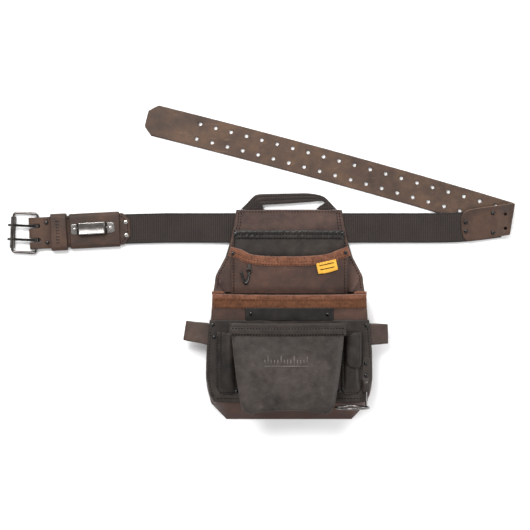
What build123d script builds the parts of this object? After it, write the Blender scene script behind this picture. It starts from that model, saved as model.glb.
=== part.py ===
"""A carpenter's tool belt, laid out flat: a webbing belt with a leather buckle end and a punched
leather tail, and a leather nail-and-tool pouch that slides along it.

It lies on its back on the plane Z = 0. X runs along the belt, from the buckle to the tail's fold,
and Y runs up the pouch, from its bottom to its carrying handle. Every function below works in the
drawing frame, whose origin is where the belt's centre line crosses the pouch's centre line; main()
moves all the pieces at once, so that the origin lands in the middle of the bounding box's bottom
face. Lengths are in millimetres.
"""
from build123d import *
import math
import os

# ---- belt: webbing, leather ends and their heights above the floor
WEB_WIDTH = 48.0
WEB_LOW, WEB_HIGH = 4.6, 7.0
WEB_LEFT_BEND, WEB_RIGHT_BEND = -270.0, 282.0   # where the webbing turns a little in its own plane
STRAP_WIDTH = 50.4
STRAP_THICK = 2.8

# ---- buckle end, drawn in its own frame: x = 0 where the webbing comes out of the leather
END_AT = (WEB_LEFT_BEND, -1.2)
END_TILT = 3.0
CHAPE_HALF = 25.5
CHAPE_OUT = 8.3                   # the leather's pointed end, past the frame's origin
CHAPE_SKIN = 2.2
BUCKLE_BAR_X = -145.3             # the bar that the leather is folded round
LOOP_CENTRE_X = -153.0
LOOP_CENTRE_Z = (WEB_LOW + WEB_HIGH) / 2
LOOP_INNER = 2.8
LOOP_RUN = (-132.0, -139.0)       # the leather opens out between these to pass the bar
PRONG_SPACING = 23.0
SLOT_WIDTH = 7.0
SLOT_PAST_BAR = 6.5

# ---- buckle, drawn with its heel bar on its own Y axis and its front bar at -X
BUCKLE_TILT = -2.5
BUCKLE_LENGTH = 39.4
BUCKLE_WIDTH = 64.4
WIRE_R = 2.2
CORNER_R = 5.0
ROLLER_R, ROLLER_LENGTH = 4.3, 52.0
ROLLER_PLAY = 0.06
PRONG_WIDTH = 4.0
CURL_INNER, CURL_OUTER = 2.3, 4.2
PRONG_REACH = 47.0

# ---- keeper loop, clip sleeve and tape clip, in the buckle end's frame
KEEPER_X = (-121.0, -96.0)
KEEPER_HALF, KEEPER_HEIGHT = 30.5, 16.0
SLEEVE_X = (-89.7, -9.3)
SLEEVE_HALF, SLEEVE_HEIGHT = 29.0, 13.0
LOOP_SKIN = 2.0                   # leather thickness of the keeper and the sleeve
LOOP_SIDE_SKIN = 2.2
CLIP_X = (-88.0, -17.0)
CLIP_BRIDGE_X = (-74.5, -32.5)
CLIP_FEET_X = (-76.9, -30.1)
CLIP_Y, CLIP_WIDTH = 3.0, 17.5
CLIP_THICK, CLIP_TOP = 1.4, 22.0

# ---- tail strap: the riveted patch, the fold and the punched tail under the belt
FOLD_AT = (358.9, 14.4)           # the fold's axis crosses the patch's centre line here
FOLD_ANGLE = 81.0
FOLD_R = 6.8                      # to the middle of the leather
PATCH_ANGLE = 9.3
PATCH_LEFT = -76.0                # along the patch, from the fold's axis
PATCH_CORNER_R = 14.0
PATCH_RISE = (-15.0, -2.0)        # the patch climbs to the fold between these
TAIL_START, TAIL_MIDDLE, TAIL_TIP = (358.9, 18.0), (71.8, 100.8), (-234.4, 180.5)
TIP_CUT_LONG, TIP_CUT_WIDE = 14.0, 12.5
HOLE_R = 2.6                      # the patch's two prong holes
TAIL_HOLE_R = 3.0
HOLE_ROW = 12.0
HOLE_PITCH = 25.95                # the first gap, next to the tip
HOLE_GROWTH = 0.03                # the gaps widen slightly towards the fold
HOLE_FIRST = 88.0                 # from the tip to the first pair
HOLE_PAIRS = 20

# ---- rivets
RIVET_HEAD_R, RIVET_HEAD = 3.7, 1.5
RIVET_SHANK_R = 1.5

# ---- pouch: heights of its layers
BACK = (0.0, 2.4)
TUNNEL = (7.6, 10.0)              # the leather over the belt
TOP_POCKET = (10.0, 17.6)
MID_POCKET = (10.0, 27.0)
BIG_FRONT = (40.0, 42.4)
PANEL = (42.4, 44.6)
NAIL_FRONT = (77.0, 79.4)
POUCH_TOP, POUCH_BOTTOM = 29.5, -315.0
WALL = 2.2
NAIL_X = -3.0

# right-hand halves of the leather outlines, from the top down
BACK_HALF = [(87, POUCH_TOP), (93, -2), (98, -26), (105, -48), (114, -65), (121.5, -79), (122, -88),
             (125, -106),
             (128, -153), (136, -203), (137, -249), (129, -288), (103, POUCH_BOTTOM)]
BIG_BACK_HALF = [(125, -109), (128, -153), (136, -203), (137, -249), (129, -288), (103, -314)]
BIG_FRONT_HALF = [(124, -109), (127, -153), (133, -203), (134, -245), (126, -284), (100, -285)]
PANEL_HALF = [(129, -151), (133.5, -200), (134, -244), (124, -283)]
NAIL_BACK_HALF = [(84, -156), (73, -264), (61, -283)]
NAIL_FRONT_HALF = [(91.5, -156), (78.5, -270), (64, -300)]

TOP_HALF_WIDTH, TOP_MOUTH, TOP_FLOOR, TOP_RAIL = 91.0, -5.0, -60.0, 6.0
MID_HALF_WIDTH, MID_FLOOR = 96.0, -108.0
MID_INNER = 91.6
MID_EDGE = [(-96, -32), (-62, -45), (0, -48), (62, -44.5), (96, -31.5)]
MID_BINDING = 14.5
BIG_MOUTH, BIG_BINDING = -108.0, 23.6
NAIL_MOUTH, NAIL_BINDING = -153.0, 20.0
SIDE_POCKET_Y = (-270.0, -171.0)
LEFT_POCKET_X, RIGHT_POCKET_X = (-118.0, -90.0), (85.0, 116.5)
SIDE_POCKET_TOP = 57.0
HAMMER_AXIS = (124.2, 50.0)       # X and Z of the ring's upright shank
HAMMER_STRAP_Y = (-252.0, -212.0)
HAMMER_GRIP_Y = (-266.0, -252.0)
RING_Y, RING_R, RING_WIRE, RING_REACH, RING_TURN = -290.0, 27.0, 1.6, 31.0, 50.0
LOOP_WIDE = 33.0
HANDLE_AXIS = (32.2, 5.0)         # Y and Z of the line that the handle folds on
HOOK_AXIS = (-68.0, 29.2)         # Y and Z of the hook's hinge bar
HOOK_X = -65.0


def mirrored(half, centre=0.0):
    """A closed outline from the points of its right-hand half, top down."""
    right = [(centre + x, y) for x, y in half]
    left = [(centre - x, y) for x, y in reversed(half)]
    return right + left


def face_of(points, z=0.0):
    return Pos(0, 0, z) * make_face(Polyline(*points, close=True))


def slab(face, low, high):
    """A flat face in the XY plane, made into a sheet between two heights."""
    return extrude(Pos(0, 0, low) * face, high - low, dir=(0, 0, 1))


def plate(points, low, high):
    return slab(face_of(points), low, high)


def block(x, y, z):
    """A box from three (low, high) pairs."""
    size = [pair[1] - pair[0] for pair in (x, y, z)]
    middle = [(pair[0] + pair[1]) / 2 for pair in (x, y, z)]
    return Pos(*middle) * Box(*size)


def along_x(points, low, high):
    """A (y, z) profile drawn out along X."""
    face = make_face(Polyline(*[(0, y, z) for y, z in points], close=True))
    return extrude(Pos(low, 0, 0) * face, high - low, dir=(1, 0, 0))


def along_y(curve, half):
    """A closed curve in the XZ plane drawn out both ways along Y."""
    return extrude(make_face(curve), half, dir=(0, 1, 0), both=True)


def rod(start, end, radius):
    """A round bar between two points."""
    start, end = Vector(*start), Vector(*end)
    return Plane(origin=start, z_dir=end - start) * Cylinder(
        radius, (end - start).length, align=(Align.CENTER, Align.CENTER, Align.MIN))


def rivet(x, y, seat, depth):
    """A domed rivet: its head stands on the height seat and its shank goes down by depth."""
    base = (Align.CENTER, Align.CENTER, Align.MIN)
    head = Cylinder(RIVET_HEAD_R, RIVET_HEAD, align=base)
    head = fillet(head.edges().group_by(Axis.Z)[-1], RIVET_HEAD * 0.8)
    return Pos(x, y, seat) * head + Pos(x, y, seat - depth) * Cylinder(RIVET_SHANK_R, depth, align=base)


def drilled(piece, places, low=-1.0, high=100.0):
    """The piece with a shank-sized hole at each (x, y), between two heights."""
    for x, y in places:
        piece -= Pos(x, y, (low + high) / 2) * Cylinder(RIVET_SHANK_R, high - low)
    return piece


def on_end(shape):
    """Moves a piece of the buckle end from its own frame to the drawing frame."""
    return Pos(*END_AT, 0) * Rot(0, 0, END_TILT) * shape


def end_point(x, y=0.0):
    """Where a point of the buckle end's frame is in the drawing frame."""
    turn = math.radians(END_TILT)
    return (END_AT[0] + x * math.cos(turn) - y * math.sin(turn),
            END_AT[1] + x * math.sin(turn) + y * math.cos(turn))


# ---------------------------------------------------------------- belt

CHAPE_RIVETS = [(-128.4, 16.4), (-128.4, -16.4)]
CHAPE_END_RIVETS = [(1.8, 10.6), (1.8, -10.6)]
PATCH_RIVETS = [(290.4, 9.2), (290.4, -5.8), (335.3, 24.3), (335.3, -8.3)]


def web_belt():
    """The webbing: straight through the pouch, with a slight turn at each leather end."""
    half = WEB_WIDTH / 2
    middle = block((WEB_LEFT_BEND, WEB_RIGHT_BEND), (-half, half), (WEB_LOW, WEB_HIGH))
    left = on_end(block((-118, 3), (-half, half), (WEB_LOW, WEB_HIGH)))
    right = Pos(WEB_RIGHT_BEND, 0, 0) * Rot(0, 0, 8) * block((-3, 62), (-half, half), (WEB_LOW, WEB_HIGH))
    web = middle + left + right
    return drilled(web, PATCH_RIVETS + [end_point(x, y) for x, y in CHAPE_END_RIVETS])


def chape():
    """The buckle end's leather: one strap folded round the buckle's bar, webbing between its layers."""
    low, high = LOOP_RUN[1], LOOP_RUN[0]
    inner, outer = LOOP_INNER, LOOP_INNER + CHAPE_SKIN
    mid, x = LOOP_CENTRE_Z, LOOP_CENTRE_X
    top, bottom = WEB_HIGH + CHAPE_SKIN, WEB_LOW - CHAPE_SKIN
    outside_top = Polyline((CHAPE_OUT, 0, WEB_HIGH), (CHAPE_OUT, 0, top), (high, 0, top),
                           (low, 0, mid + outer),
                           (x, 0, mid + outer))
    outside_bend = ThreePointArc((x, 0, mid + outer), (x - outer, 0, mid), (x, 0, mid - outer))
    underside = Polyline((x, 0, mid - outer), (low, 0, mid - outer), (high, 0, bottom),
                         (CHAPE_OUT, 0, bottom), (CHAPE_OUT, 0, WEB_LOW), (high, 0, WEB_LOW),
                         (low, 0, mid - inner), (x, 0, mid - inner))
    inside_bend = ThreePointArc((x, 0, mid - inner), (x - inner, 0, mid), (x, 0, mid + inner))
    inside_top = Polyline((x, 0, mid + inner), (low, 0, mid + inner), (high, 0, WEB_HIGH),
                          (CHAPE_OUT, 0, WEB_HIGH))
    leather = along_y(outside_top + outside_bend + underside + inside_bend + inside_top, CHAPE_HALF)
    plan = [(-170, CHAPE_HALF), (-3.5, CHAPE_HALF), (CHAPE_OUT, 13.5), (CHAPE_OUT, -13.5),
            (-3.5, -CHAPE_HALF),
            (-170, -CHAPE_HALF)]
    leather &= plate(plan, -5, 20)
    for side in (1, -1):
        y = side * PRONG_SPACING / 2
        leather -= block((-170, BUCKLE_BAR_X + SLOT_PAST_BAR), (y - SLOT_WIDTH / 2, y + SLOT_WIDTH / 2),
                         (-5, 20))
    return on_end(drilled(leather, CHAPE_RIVETS + CHAPE_END_RIVETS))


def hollow_sleeve(x, half, height):
    """A flattened leather tube round the belt, with soft corners."""
    tube = block(x, (-half, half), (0, height))
    tube = fillet(tube.edges().filter_by(Axis.X), 3.5)
    inside = block((x[0] - 1, x[1] + 1), (LOOP_SIDE_SKIN - half, half - LOOP_SIDE_SKIN),
                   (LOOP_SKIN, height - LOOP_SKIN))
    return tube - fillet(inside.edges().filter_by(Axis.X), 1.5)


CLIP_RIVETS = [(-82.2, CLIP_Y), (-23.5, CLIP_Y)]


def clip_sleeve():
    sleeve = hollow_sleeve(SLEEVE_X, SLEEVE_HALF, SLEEVE_HEIGHT)
    return on_end(drilled(sleeve, CLIP_RIVETS, SLEEVE_HEIGHT - 3))


def tape_clip():
    """The formed steel strap that a tape measure hooks over: two riveted feet and a raised bridge."""
    t, foot = CLIP_THICK, SLEEVE_HEIGHT
    outer = [(CLIP_X[0], foot), (CLIP_X[0], foot + t), (CLIP_FEET_X[0], foot + t),
             (CLIP_BRIDGE_X[0], CLIP_TOP), (CLIP_BRIDGE_X[1], CLIP_TOP),
             (CLIP_FEET_X[1], foot + t), (CLIP_X[1], foot + t), (CLIP_X[1], foot)]
    inner = [(CLIP_FEET_X[1] - 1.9, foot), (CLIP_BRIDGE_X[1] - 1.9, CLIP_TOP - t),
             (CLIP_BRIDGE_X[0] + 1.9, CLIP_TOP - t), (CLIP_FEET_X[0] + 1.9, foot)]
    strap = along_y(Polyline(*[(x, 0, z) for x, z in outer + inner], close=True), CLIP_WIDTH / 2)
    return on_end(drilled(Pos(0, CLIP_Y, 0) * strap, CLIP_RIVETS))


def on_buckle(shape):
    """Moves a piece of the buckle from its own frame to the drawing frame."""
    return Pos(*end_point(BUCKLE_BAR_X), LOOP_CENTRE_Z) * Rot(0, 0, BUCKLE_TILT) * shape


def buckle_frame():
    """One bent wire: heel bar, two rails and the front bar that carries the roller."""
    long_x, half_y, r = BUCKLE_LENGTH, BUCKLE_WIDTH / 2, CORNER_R
    bars = (rod((0, r - half_y, 0), (0, half_y - r, 0), WIRE_R)
            + rod((-long_x, r - half_y, 0), (-long_x, half_y - r, 0), WIRE_R))
    for side in (1, -1):
        bars += rod((-r, side * half_y, 0), (r - long_x, side * half_y, 0), WIRE_R)
        for centre_x, start in ((-r, (0, 0, 0)), (r - long_x, (-long_x, 0, 0))):
            section = Plane(origin=(start[0], side * (half_y - r), 0), z_dir=(0, 1, 0)) * Circle(WIRE_R)
            axis = Axis((centre_x, side * (half_y - r), 0), (0, 0, side if centre_x == -r else -side))
            bars += revolve(section, axis, 90)
    return on_buckle(bars)


def roller():
    tube = Cylinder(ROLLER_R, ROLLER_LENGTH) - Cylinder(WIRE_R + ROLLER_PLAY, ROLLER_LENGTH)
    tube = fillet(tube.edges().filter_by(GeomType.CIRCLE).filter_by(lambda e: e.radius > 3), 0.6)
    return on_buckle(Pos(-BUCKLE_LENGTH, 0, 0) * Rot(90, 0, 0) * tube)


def prong(side):
    """A prong: a curl round the heel bar and a tapered arm that lies on the roller."""
    over = ROLLER_R + 0.15
    arm = Polyline((-2.4, 0, 1.4), (-BUCKLE_LENGTH, 0, over), (-PRONG_REACH, 0, over + 0.6),
                   (-PRONG_REACH, 0, over + 2.4), (-BUCKLE_LENGTH, 0, over + 3.2), (-1.5, 0, 4.0),
                   close=True)
    half = PRONG_WIDTH / 2
    curl = Rot(90, 0, 0) * Cylinder(CURL_OUTER, PRONG_WIDTH)
    shape = along_y(arm, half) + curl - Rot(90, 0, 0) * Cylinder(CURL_INNER, PRONG_WIDTH + 2)
    return on_buckle(Pos(0, side * PRONG_SPACING / 2, 0) * shape)


def tail_arc():
    return ThreePointArc(TAIL_START, TAIL_MIDDLE, TAIL_TIP)


def hole_pair_places():
    """The punched pairs along the tail, counted from its tip."""
    arc = tail_arc()
    places = []
    for i in range(HOLE_PAIRS):
        share = 1 - (HOLE_FIRST + i * HOLE_PITCH + i * i * HOLE_GROWTH) / arc.length
        along = arc % share
        across = Vector(-along.Y, along.X)
        places += [arc @ share + across * HOLE_ROW, arc @ share - across * HOLE_ROW]
    return places


def tail_strap():
    """One leather strap: a riveted patch, a fold, and a punched tail that runs back under the belt."""
    half, t = STRAP_WIDTH / 2, STRAP_THICK
    ring_out, ring_in = FOLD_R + t / 2, FOLD_R - t / 2
    mid, high = ring_out, WEB_HIGH + t
    top = Polyline((-90, 0, WEB_HIGH), (-90, 0, high), (PATCH_RISE[0], 0, high),
                   (PATCH_RISE[1], 0, mid + ring_out),
                   (0, 0, mid + ring_out))
    outside = ThreePointArc((0, 0, mid + ring_out), (ring_out, 0, mid), (0, 0, 0))
    cut = Line((0, 0, 0), (0, 0, t))
    inside = ThreePointArc((0, 0, t), (ring_in, 0, mid), (0, 0, mid + ring_in))
    under = Polyline((0, 0, mid + ring_in), (PATCH_RISE[1], 0, mid + ring_in),
                     (PATCH_RISE[0], 0, WEB_HIGH),
                     (-90, 0, WEB_HIGH))
    fold = along_y(top + outside + cut + inside + under, 45)
    fold = Pos(*FOLD_AT, 0) * Rot(0, 0, FOLD_ANGLE - 90) * fold
    outline = Pos(*FOLD_AT) * Rot(0, 0, PATCH_ANGLE) * block((PATCH_LEFT, 30), (-half, half), (-5, 40))
    left_edges = outline.edges().filter_by(Axis.Z).sort_by(Axis.X)[:2]
    fold &= fillet(left_edges, PATCH_CORNER_R)
    tail = slab(trace(tail_arc(), line_width=STRAP_WIDTH), 0, t)
    tail -= tip_corners()
    strap = fold + tail
    for place in hole_pair_places():
        strap -= Pos(place.X, place.Y, 0) * Cylinder(TAIL_HOLE_R, 4 * t)
    strap -= fold_holes()
    return drilled(strap, PATCH_RIVETS, WEB_HIGH - 1)


def tip_corners():
    """The two corners cut off the tail's tip."""
    along = tail_arc() % 1
    across = Vector(-along.Y, along.X)
    tip = Vector(*TAIL_TIP)
    corners = []
    for side in (1, -1):
        out = across * side * STRAP_WIDTH / 2
        points = [tip + out + along, tip + out - along * TIP_CUT_LONG + across * side,
                  tip + out - along * TIP_CUT_LONG, tip + out - across * side * TIP_CUT_WIDE,
                  tip + out - across * side * TIP_CUT_WIDE + along]
        corners.append(plate([(p.X, p.Y) for p in points], -1, 2 * STRAP_THICK))
    return corners


def fold_holes():
    """The two pairs past the tail: one round the fold, and one on the patch's slope."""
    turn = math.radians(FOLD_ANGLE)
    up = Vector(math.cos(turn), math.sin(turn))
    out = Vector(math.sin(turn), -math.cos(turn))
    centre = Vector(*FOLD_AT)
    tools = []
    for side in (1, -1):
        at = centre + up * side * HOLE_ROW
        start = at + out * 3
        end = at + out * 14
        tools.append(rod((start.X, start.Y, FOLD_R + 1.4), (end.X, end.Y, FOLD_R + 1.4), HOLE_R))
        slope = at - out * 6
        tools.append(Pos(slope.X, slope.Y, 16) * Cylinder(HOLE_R, 12))
    return tools


def keeper():
    return on_end(hollow_sleeve(KEEPER_X, KEEPER_HALF, KEEPER_HEIGHT))


def belt_rivets():
    """The blackened rivets: two behind the buckle and four in the tail's patch."""
    seat = WEB_HIGH + CHAPE_SKIN
    pieces = [on_end(rivet(x, y, seat, seat - WEB_LOW + CHAPE_SKIN)) for x, y in CHAPE_RIVETS]
    high = WEB_HIGH + STRAP_THICK
    return pieces + [rivet(x, y, high, high - WEB_LOW) for x, y in PATCH_RIVETS]


def end_rivets():
    """The two bright rivets at the leather's pointed end."""
    seat = WEB_HIGH + CHAPE_SKIN
    return [on_end(rivet(x, y, seat, seat - WEB_LOW + CHAPE_SKIN)) for x, y in CHAPE_END_RIVETS]


def clip_rivets():
    return [on_end(rivet(x, y, SLEEVE_HEIGHT + CLIP_THICK, CLIP_THICK + LOOP_SKIN))
            for x, y in CLIP_RIVETS]


# ---------------------------------------------------------------- pouch

TOP_RIVETS = [(-88, -10), (88, -9)]
MID_RIVETS = [(-92, -42), (92, -41)]
PATCH_OF_NAIL_RIVETS = [(-62, -140), (62, -141)]
PANEL_RIVETS = [(-124.5, -158), (125, -159)]
SIDE_RIVETS = [(-122.4, -178), (-85.6, -266), (80.6, -266)]
STRAP_RIVETS = [(124.2, -220.6), (124.2, -244)]


def back_panel():
    return plate(mirrored(BACK_HALF), *BACK)


def tunnel_panel():
    """The leather that covers the belt, then steps down to the back panel under the pockets."""
    low, high = TUNNEL
    step = along_x([(POUCH_TOP, high), (POUCH_TOP, low), (-61, low), (-75, 2.4), (-104, 2.4), (-104, 4.8),
                    (-76, 4.8), (-62, high)], -130, 130)
    inset = [(x - 1.2, y) for x, y in BACK_HALF]
    return drilled(step & plate(mirrored(inset), 0, 20), TOP_RIVETS)


def top_welt():
    """The seam strip between the two layers along the top edge, with the handle's ends sewn in."""
    return block((-85, 85), (25.2, POUCH_TOP), (BACK[1], TUNNEL[0]))


def top_pocket():
    inner = TOP_HALF_WIDTH - TOP_RAIL
    tray = block((-TOP_HALF_WIDTH, TOP_HALF_WIDTH), (TOP_FLOOR, TOP_MOUTH), TOP_POCKET)
    tray -= block((-inner, inner), (TOP_FLOOR + 3, 5), (TOP_POCKET[0], TOP_POCKET[1] - WALL))
    return drilled(tray, TOP_RIVETS)


def top_hem():
    """The doubled rim of the top pocket."""
    high = TOP_POCKET[1]
    hem = block((-90, 90), (TOP_MOUTH - 13.6, TOP_MOUTH), (high, high + 1.8))
    return drilled(hem, TOP_RIVETS)


def dipped_outline(shift, floor):
    """A pocket face with the dipped mouth, moved by shift in Y."""
    points = [(x, y + shift) for x, y in MID_EDGE]
    sides = Polyline(points[-1], (points[-1][0], floor), (points[0][0], floor), points[0])
    return make_face(Spline(*points) + sides)


def mid_pocket():
    face = dipped_outline(-2.0, MID_FLOOR)
    tray = slab(face, *MID_POCKET)
    tray -= block((-MID_INNER, MID_INNER), (MID_FLOOR + 3, 20), (MID_POCKET[0], MID_POCKET[1] - WALL))
    return drilled(tray, MID_RIVETS, 18)


def mid_binding():
    """The suede strip folded over the dipped mouth."""
    points = [(x, y) for x, y in MID_EDGE]
    lower = [(x, y - MID_BINDING) for x, y in reversed(points)]
    band = make_face(Spline(*points) + Line(points[-1], lower[0])
                     + Spline(*lower) + Line(lower[-1], points[0]))
    high = MID_POCKET[1]
    strip = slab(band, high - WALL - 1.8, high + 1.8) - mid_pocket()
    strip -= slab(face_of([(-97, -30), (-MID_INNER, -30), (-MID_INNER, -80), (-97, -80)]), 10, high)
    strip -= slab(face_of([(97, -30), (MID_INNER, -30), (MID_INNER, -80), (97, -80)]), 10, high)
    return drilled(strip, MID_RIVETS, 18)


def reaching_up(half, by=6.0):
    """The outline half with its first point moved up along its own edge, past the pocket's mouth."""
    (x0, y0), (x1, y1) = half[:2]
    grow = 1 + by / (y0 - y1)
    return [(x1 + (x0 - x1) * grow, y1 + (y0 - y1) * grow)] + half[1:]


def solid_pocket(back, front, low, high, centre=0.0):
    """A pocket's outer shape: its back outline drawn forward to its front outline."""
    return loft([face_of(mirrored(back, centre), low), face_of(mirrored(front, centre), high)], ruled=True)


def gusset(back, front, low, high, centre=0.0):
    """A box pocket's side wall: a tapered band round both sides and the bottom, open in front."""
    inner = [Pos(0, 0, z) * offset(face_of(mirrored(reaching_up(half), centre)), -WALL,
                                   kind=Kind.INTERSECTION)
             for half, z in ((back, low), (front, high))]
    return solid_pocket(back, front, low, high, centre) - loft(inner, ruled=True)


def big_gusset():
    return gusset(BIG_BACK_HALF, BIG_FRONT_HALF, BACK[1], BIG_FRONT[0])


def big_front():
    return plate(mirrored(BIG_FRONT_HALF), *BIG_FRONT)


def binding(mouth, depth, front, half, centre, wall_top):
    """A folded strip over a straight pocket mouth: a long leg in front, a short one inside."""
    low, high = front
    profile = [(mouth, low - 2.0), (mouth, high + 2.0), (mouth - depth, high + 2.0), (mouth - depth, high),
               (wall_top, high), (wall_top, low), (mouth - depth * 0.55, low),
               (mouth - depth * 0.55, low - 2.0)]
    return along_x(profile, centre - half, centre + half)


def big_binding():
    strip = binding(BIG_MOUTH, BIG_BINDING, BIG_FRONT, 125.5, 0, -109)
    ends = block((-130, -120.5), (-140, -109), (20, BIG_FRONT[0])) + block((120.5, 130), (-140, -109),
                                                                            (20, BIG_FRONT[0]))
    return strip - ends - plate([(-72, -131.5), (72, -131.5), (72, -140), (-72, -140)], 40, 50)


def tool_panel():
    return drilled(plate(mirrored(PANEL_HALF), *PANEL), PANEL_RIVETS + SIDE_RIVETS + STRAP_RIVETS)


def nail_patch():
    """The reinforcement behind the nail pocket's mouth."""
    patch = plate([(-71, -131.6), (71, -131.6), (71, -151), (-71, -151)], PANEL[0], PANEL[1] - 0.2)
    return drilled(patch, PATCH_OF_NAIL_RIVETS)


def nail_gusset():
    return gusset(NAIL_BACK_HALF, NAIL_FRONT_HALF, PANEL[1], NAIL_FRONT[0], NAIL_X)


def nail_front():
    return plate(mirrored(NAIL_FRONT_HALF, NAIL_X), *NAIL_FRONT)


def nail_binding():
    strip = binding(NAIL_MOUTH, NAIL_BINDING, NAIL_FRONT, 93.5, NAIL_X, -156)
    for side in (1, -1):
        edge = NAIL_X + side * 86.8
        outside = NAIL_X + side * 100
        strip -= block(tuple(sorted((edge, outside))), (-180, -156), (60, NAIL_FRONT[0]))
    return strip


def side_pocket(x):
    """A narrow tool pocket sewn to the panel, open at its top."""
    low, high = PANEL[1], SIDE_POCKET_TOP
    tray = block(x, SIDE_POCKET_Y, (low, high))
    tray = fillet(tray.edges().filter_by(Axis.Y).group_by(Axis.Z)[-1], 4)
    inside = (SIDE_POCKET_Y[0] + 3, SIDE_POCKET_Y[1] + 5)
    tray -= block((x[0] + 3.4, x[1] - 3.4), inside, (low, high - 2))
    return tray


def hammer_strap():
    """The riveted leather strap whose lower end grips the ring's shank."""
    x, z = HAMMER_AXIS
    low = PANEL[1]
    strap = block((x - 6.3, x + 6.3), HAMMER_STRAP_Y, (low, low + WALL))
    grip = block((x - 6.3, x + 6.3), HAMMER_GRIP_Y, (low, z + 4.8))
    grip = fillet(grip.edges().filter_by(Axis.Y).group_by(Axis.Z)[-1], 3)
    grip -= Pos(x, -259, z) * Rot(90, 0, 0) * Cylinder(RING_WIRE + 0.07, 20)
    return drilled(strap + grip, STRAP_RIVETS)


def ring_centre():
    turn = math.radians(RING_TURN)
    return HAMMER_AXIS[0] - RING_REACH * math.sin(turn), HAMMER_AXIS[1] + RING_REACH * math.cos(turn)


def hammer_ring():
    """The steel ring on its upright shank, with the shank's flattened head above the strap's grip."""
    x, z = HAMMER_AXIS
    ring_x, ring_z = ring_centre()
    ring = Pos(ring_x, RING_Y, ring_z) * Rot(90, 0, 0) * Torus(RING_R, RING_WIRE)
    turn = math.radians(RING_TURN)
    near = (ring_x + RING_R * math.sin(turn), RING_Y, ring_z - RING_R * math.cos(turn))
    shank = rod((x, -250.2, z), (x, RING_Y, z), RING_WIRE)
    foot = rod((x, RING_Y, z), near, RING_WIRE) + Pos(x, RING_Y, z) * Sphere(RING_WIRE)
    head = Pos(x, -250.9, z) * Rot(90, 0, 0) * Cylinder(3.0, 1.8)
    return ring + shank + foot + head


def hammer_loop(side, tip, tilt):
    """A leather side loop: a band folded double, both ends sewn into the big pocket's side seam."""
    t = 2.2
    outline = Polyline((118, 0, 38.4), (tip - 8, 0, 32.0)) + ThreePointArc(
        (tip - 8, 0, 32.0), (tip, 0, 25.0), (tip - 8, 0, 18.0)) + Polyline(
        (tip - 8, 0, 18.0), (118, 0, 7.0), (118, 0, 7.0 + t), (tip - 8, 0, 18.0 + t)) + ThreePointArc(
        (tip - 8, 0, 18.0 + t), (tip - t, 0, 25.0), (tip - 8, 0, 32.0 - t)) + Polyline(
        (tip - 8, 0, 32.0 - t), (118, 0, 38.4 - t), (118, 0, 38.4))
    band = along_y(outline, LOOP_WIDE / 2)
    band = Pos(132, -174, 0) * Rot(0, 0, tilt) * Pos(-132, 0, 0) * band
    if side < 0:
        band = mirror(band, Plane.YZ)
    return band - solid_pocket(BIG_BACK_HALF, BIG_FRONT_HALF, BACK[1], BIG_FRONT[0])


def carry_handle():
    """The folded webbing handle: two wide feet and a doubled grip."""
    y0, z = HANDLE_AXIS
    outer = [(-80, y0), (-57, 51), (-20, 56), (22, 57.5), (52, 54), (68, 46), (80, y0)]
    inner = [(45, y0), (47, 37.5), (58, 43), (45, 44.5), (0, 43), (-30, 41), (-47, 38.5), (-43, y0)]
    arch = plate(outer + inner, z - 2, z + 2)
    bars = rod((-80, y0, z), (-43, y0, z), 2) + rod((45, y0, z), (80, y0, z), 2)
    return arch + bars


def hook_tab():
    """The small leather tab under the binding that the hook hangs from."""
    y, z = HOOK_AXIS
    tab = block((HOOK_X - 2, HOOK_X + 2), (y, -64), (MID_POCKET[1], MID_POCKET[1] + 1.1))
    tube = Pos(HOOK_X, y, z) * Rot(0, 90, 0) * Cylinder(2.2, 4)
    return tab + tube - Pos(HOOK_X, y, z) * Rot(0, 90, 0) * Cylinder(1.07, 9)


def key_hook():
    """A small wire hook on a triangular eye."""
    y, z = HOOK_AXIS
    knot = (HOOK_X - 0.5, -74.5, z)
    left, right = (HOOK_X - 5.0, y, z), (HOOK_X + 5.0, y, z)
    bottom = (-70.5, -91.0, z)
    tip = (-78.5, -72.0, z)
    hook = rod(left, right, 1.0)
    for end in (left, right):
        hook += rod(end, knot, 1.0) + Pos(*end) * Sphere(1.0)
    hook += Pos(*knot) * Sphere(1.7) + rod(knot, bottom, 1.7) + Pos(*bottom) * Sphere(1.7)
    return hook + rod(bottom, tip, 1.7) + Pos(*tip) * Sphere(1.7)


def label():
    """The plain sewn-in tag."""
    tag = Pos(62, -63.6, MID_POCKET[1] + 0.5) * Rot(0, 0, 12) * Box(33, 16, 1.0)
    return tag - mid_binding()


def pouch_rivets():
    high = TOP_POCKET[1] + 1.8
    pieces = [rivet(x, y, high, high - TUNNEL[0]) for x, y in TOP_RIVETS]
    high = MID_POCKET[1] + 1.8
    pieces += [rivet(x, y, high, 5.0) for x, y in MID_RIVETS]
    pieces += [rivet(x, y, PANEL[1] - 0.2, 2.0) for x, y in PATCH_OF_NAIL_RIVETS]
    pieces += [rivet(x, y, PANEL[1], 2.2) for x, y in PANEL_RIVETS + SIDE_RIVETS]
    pieces += [rivet(x, y, PANEL[1] + WALL, 4.4) for x, y in STRAP_RIVETS]
    return pieces


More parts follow.
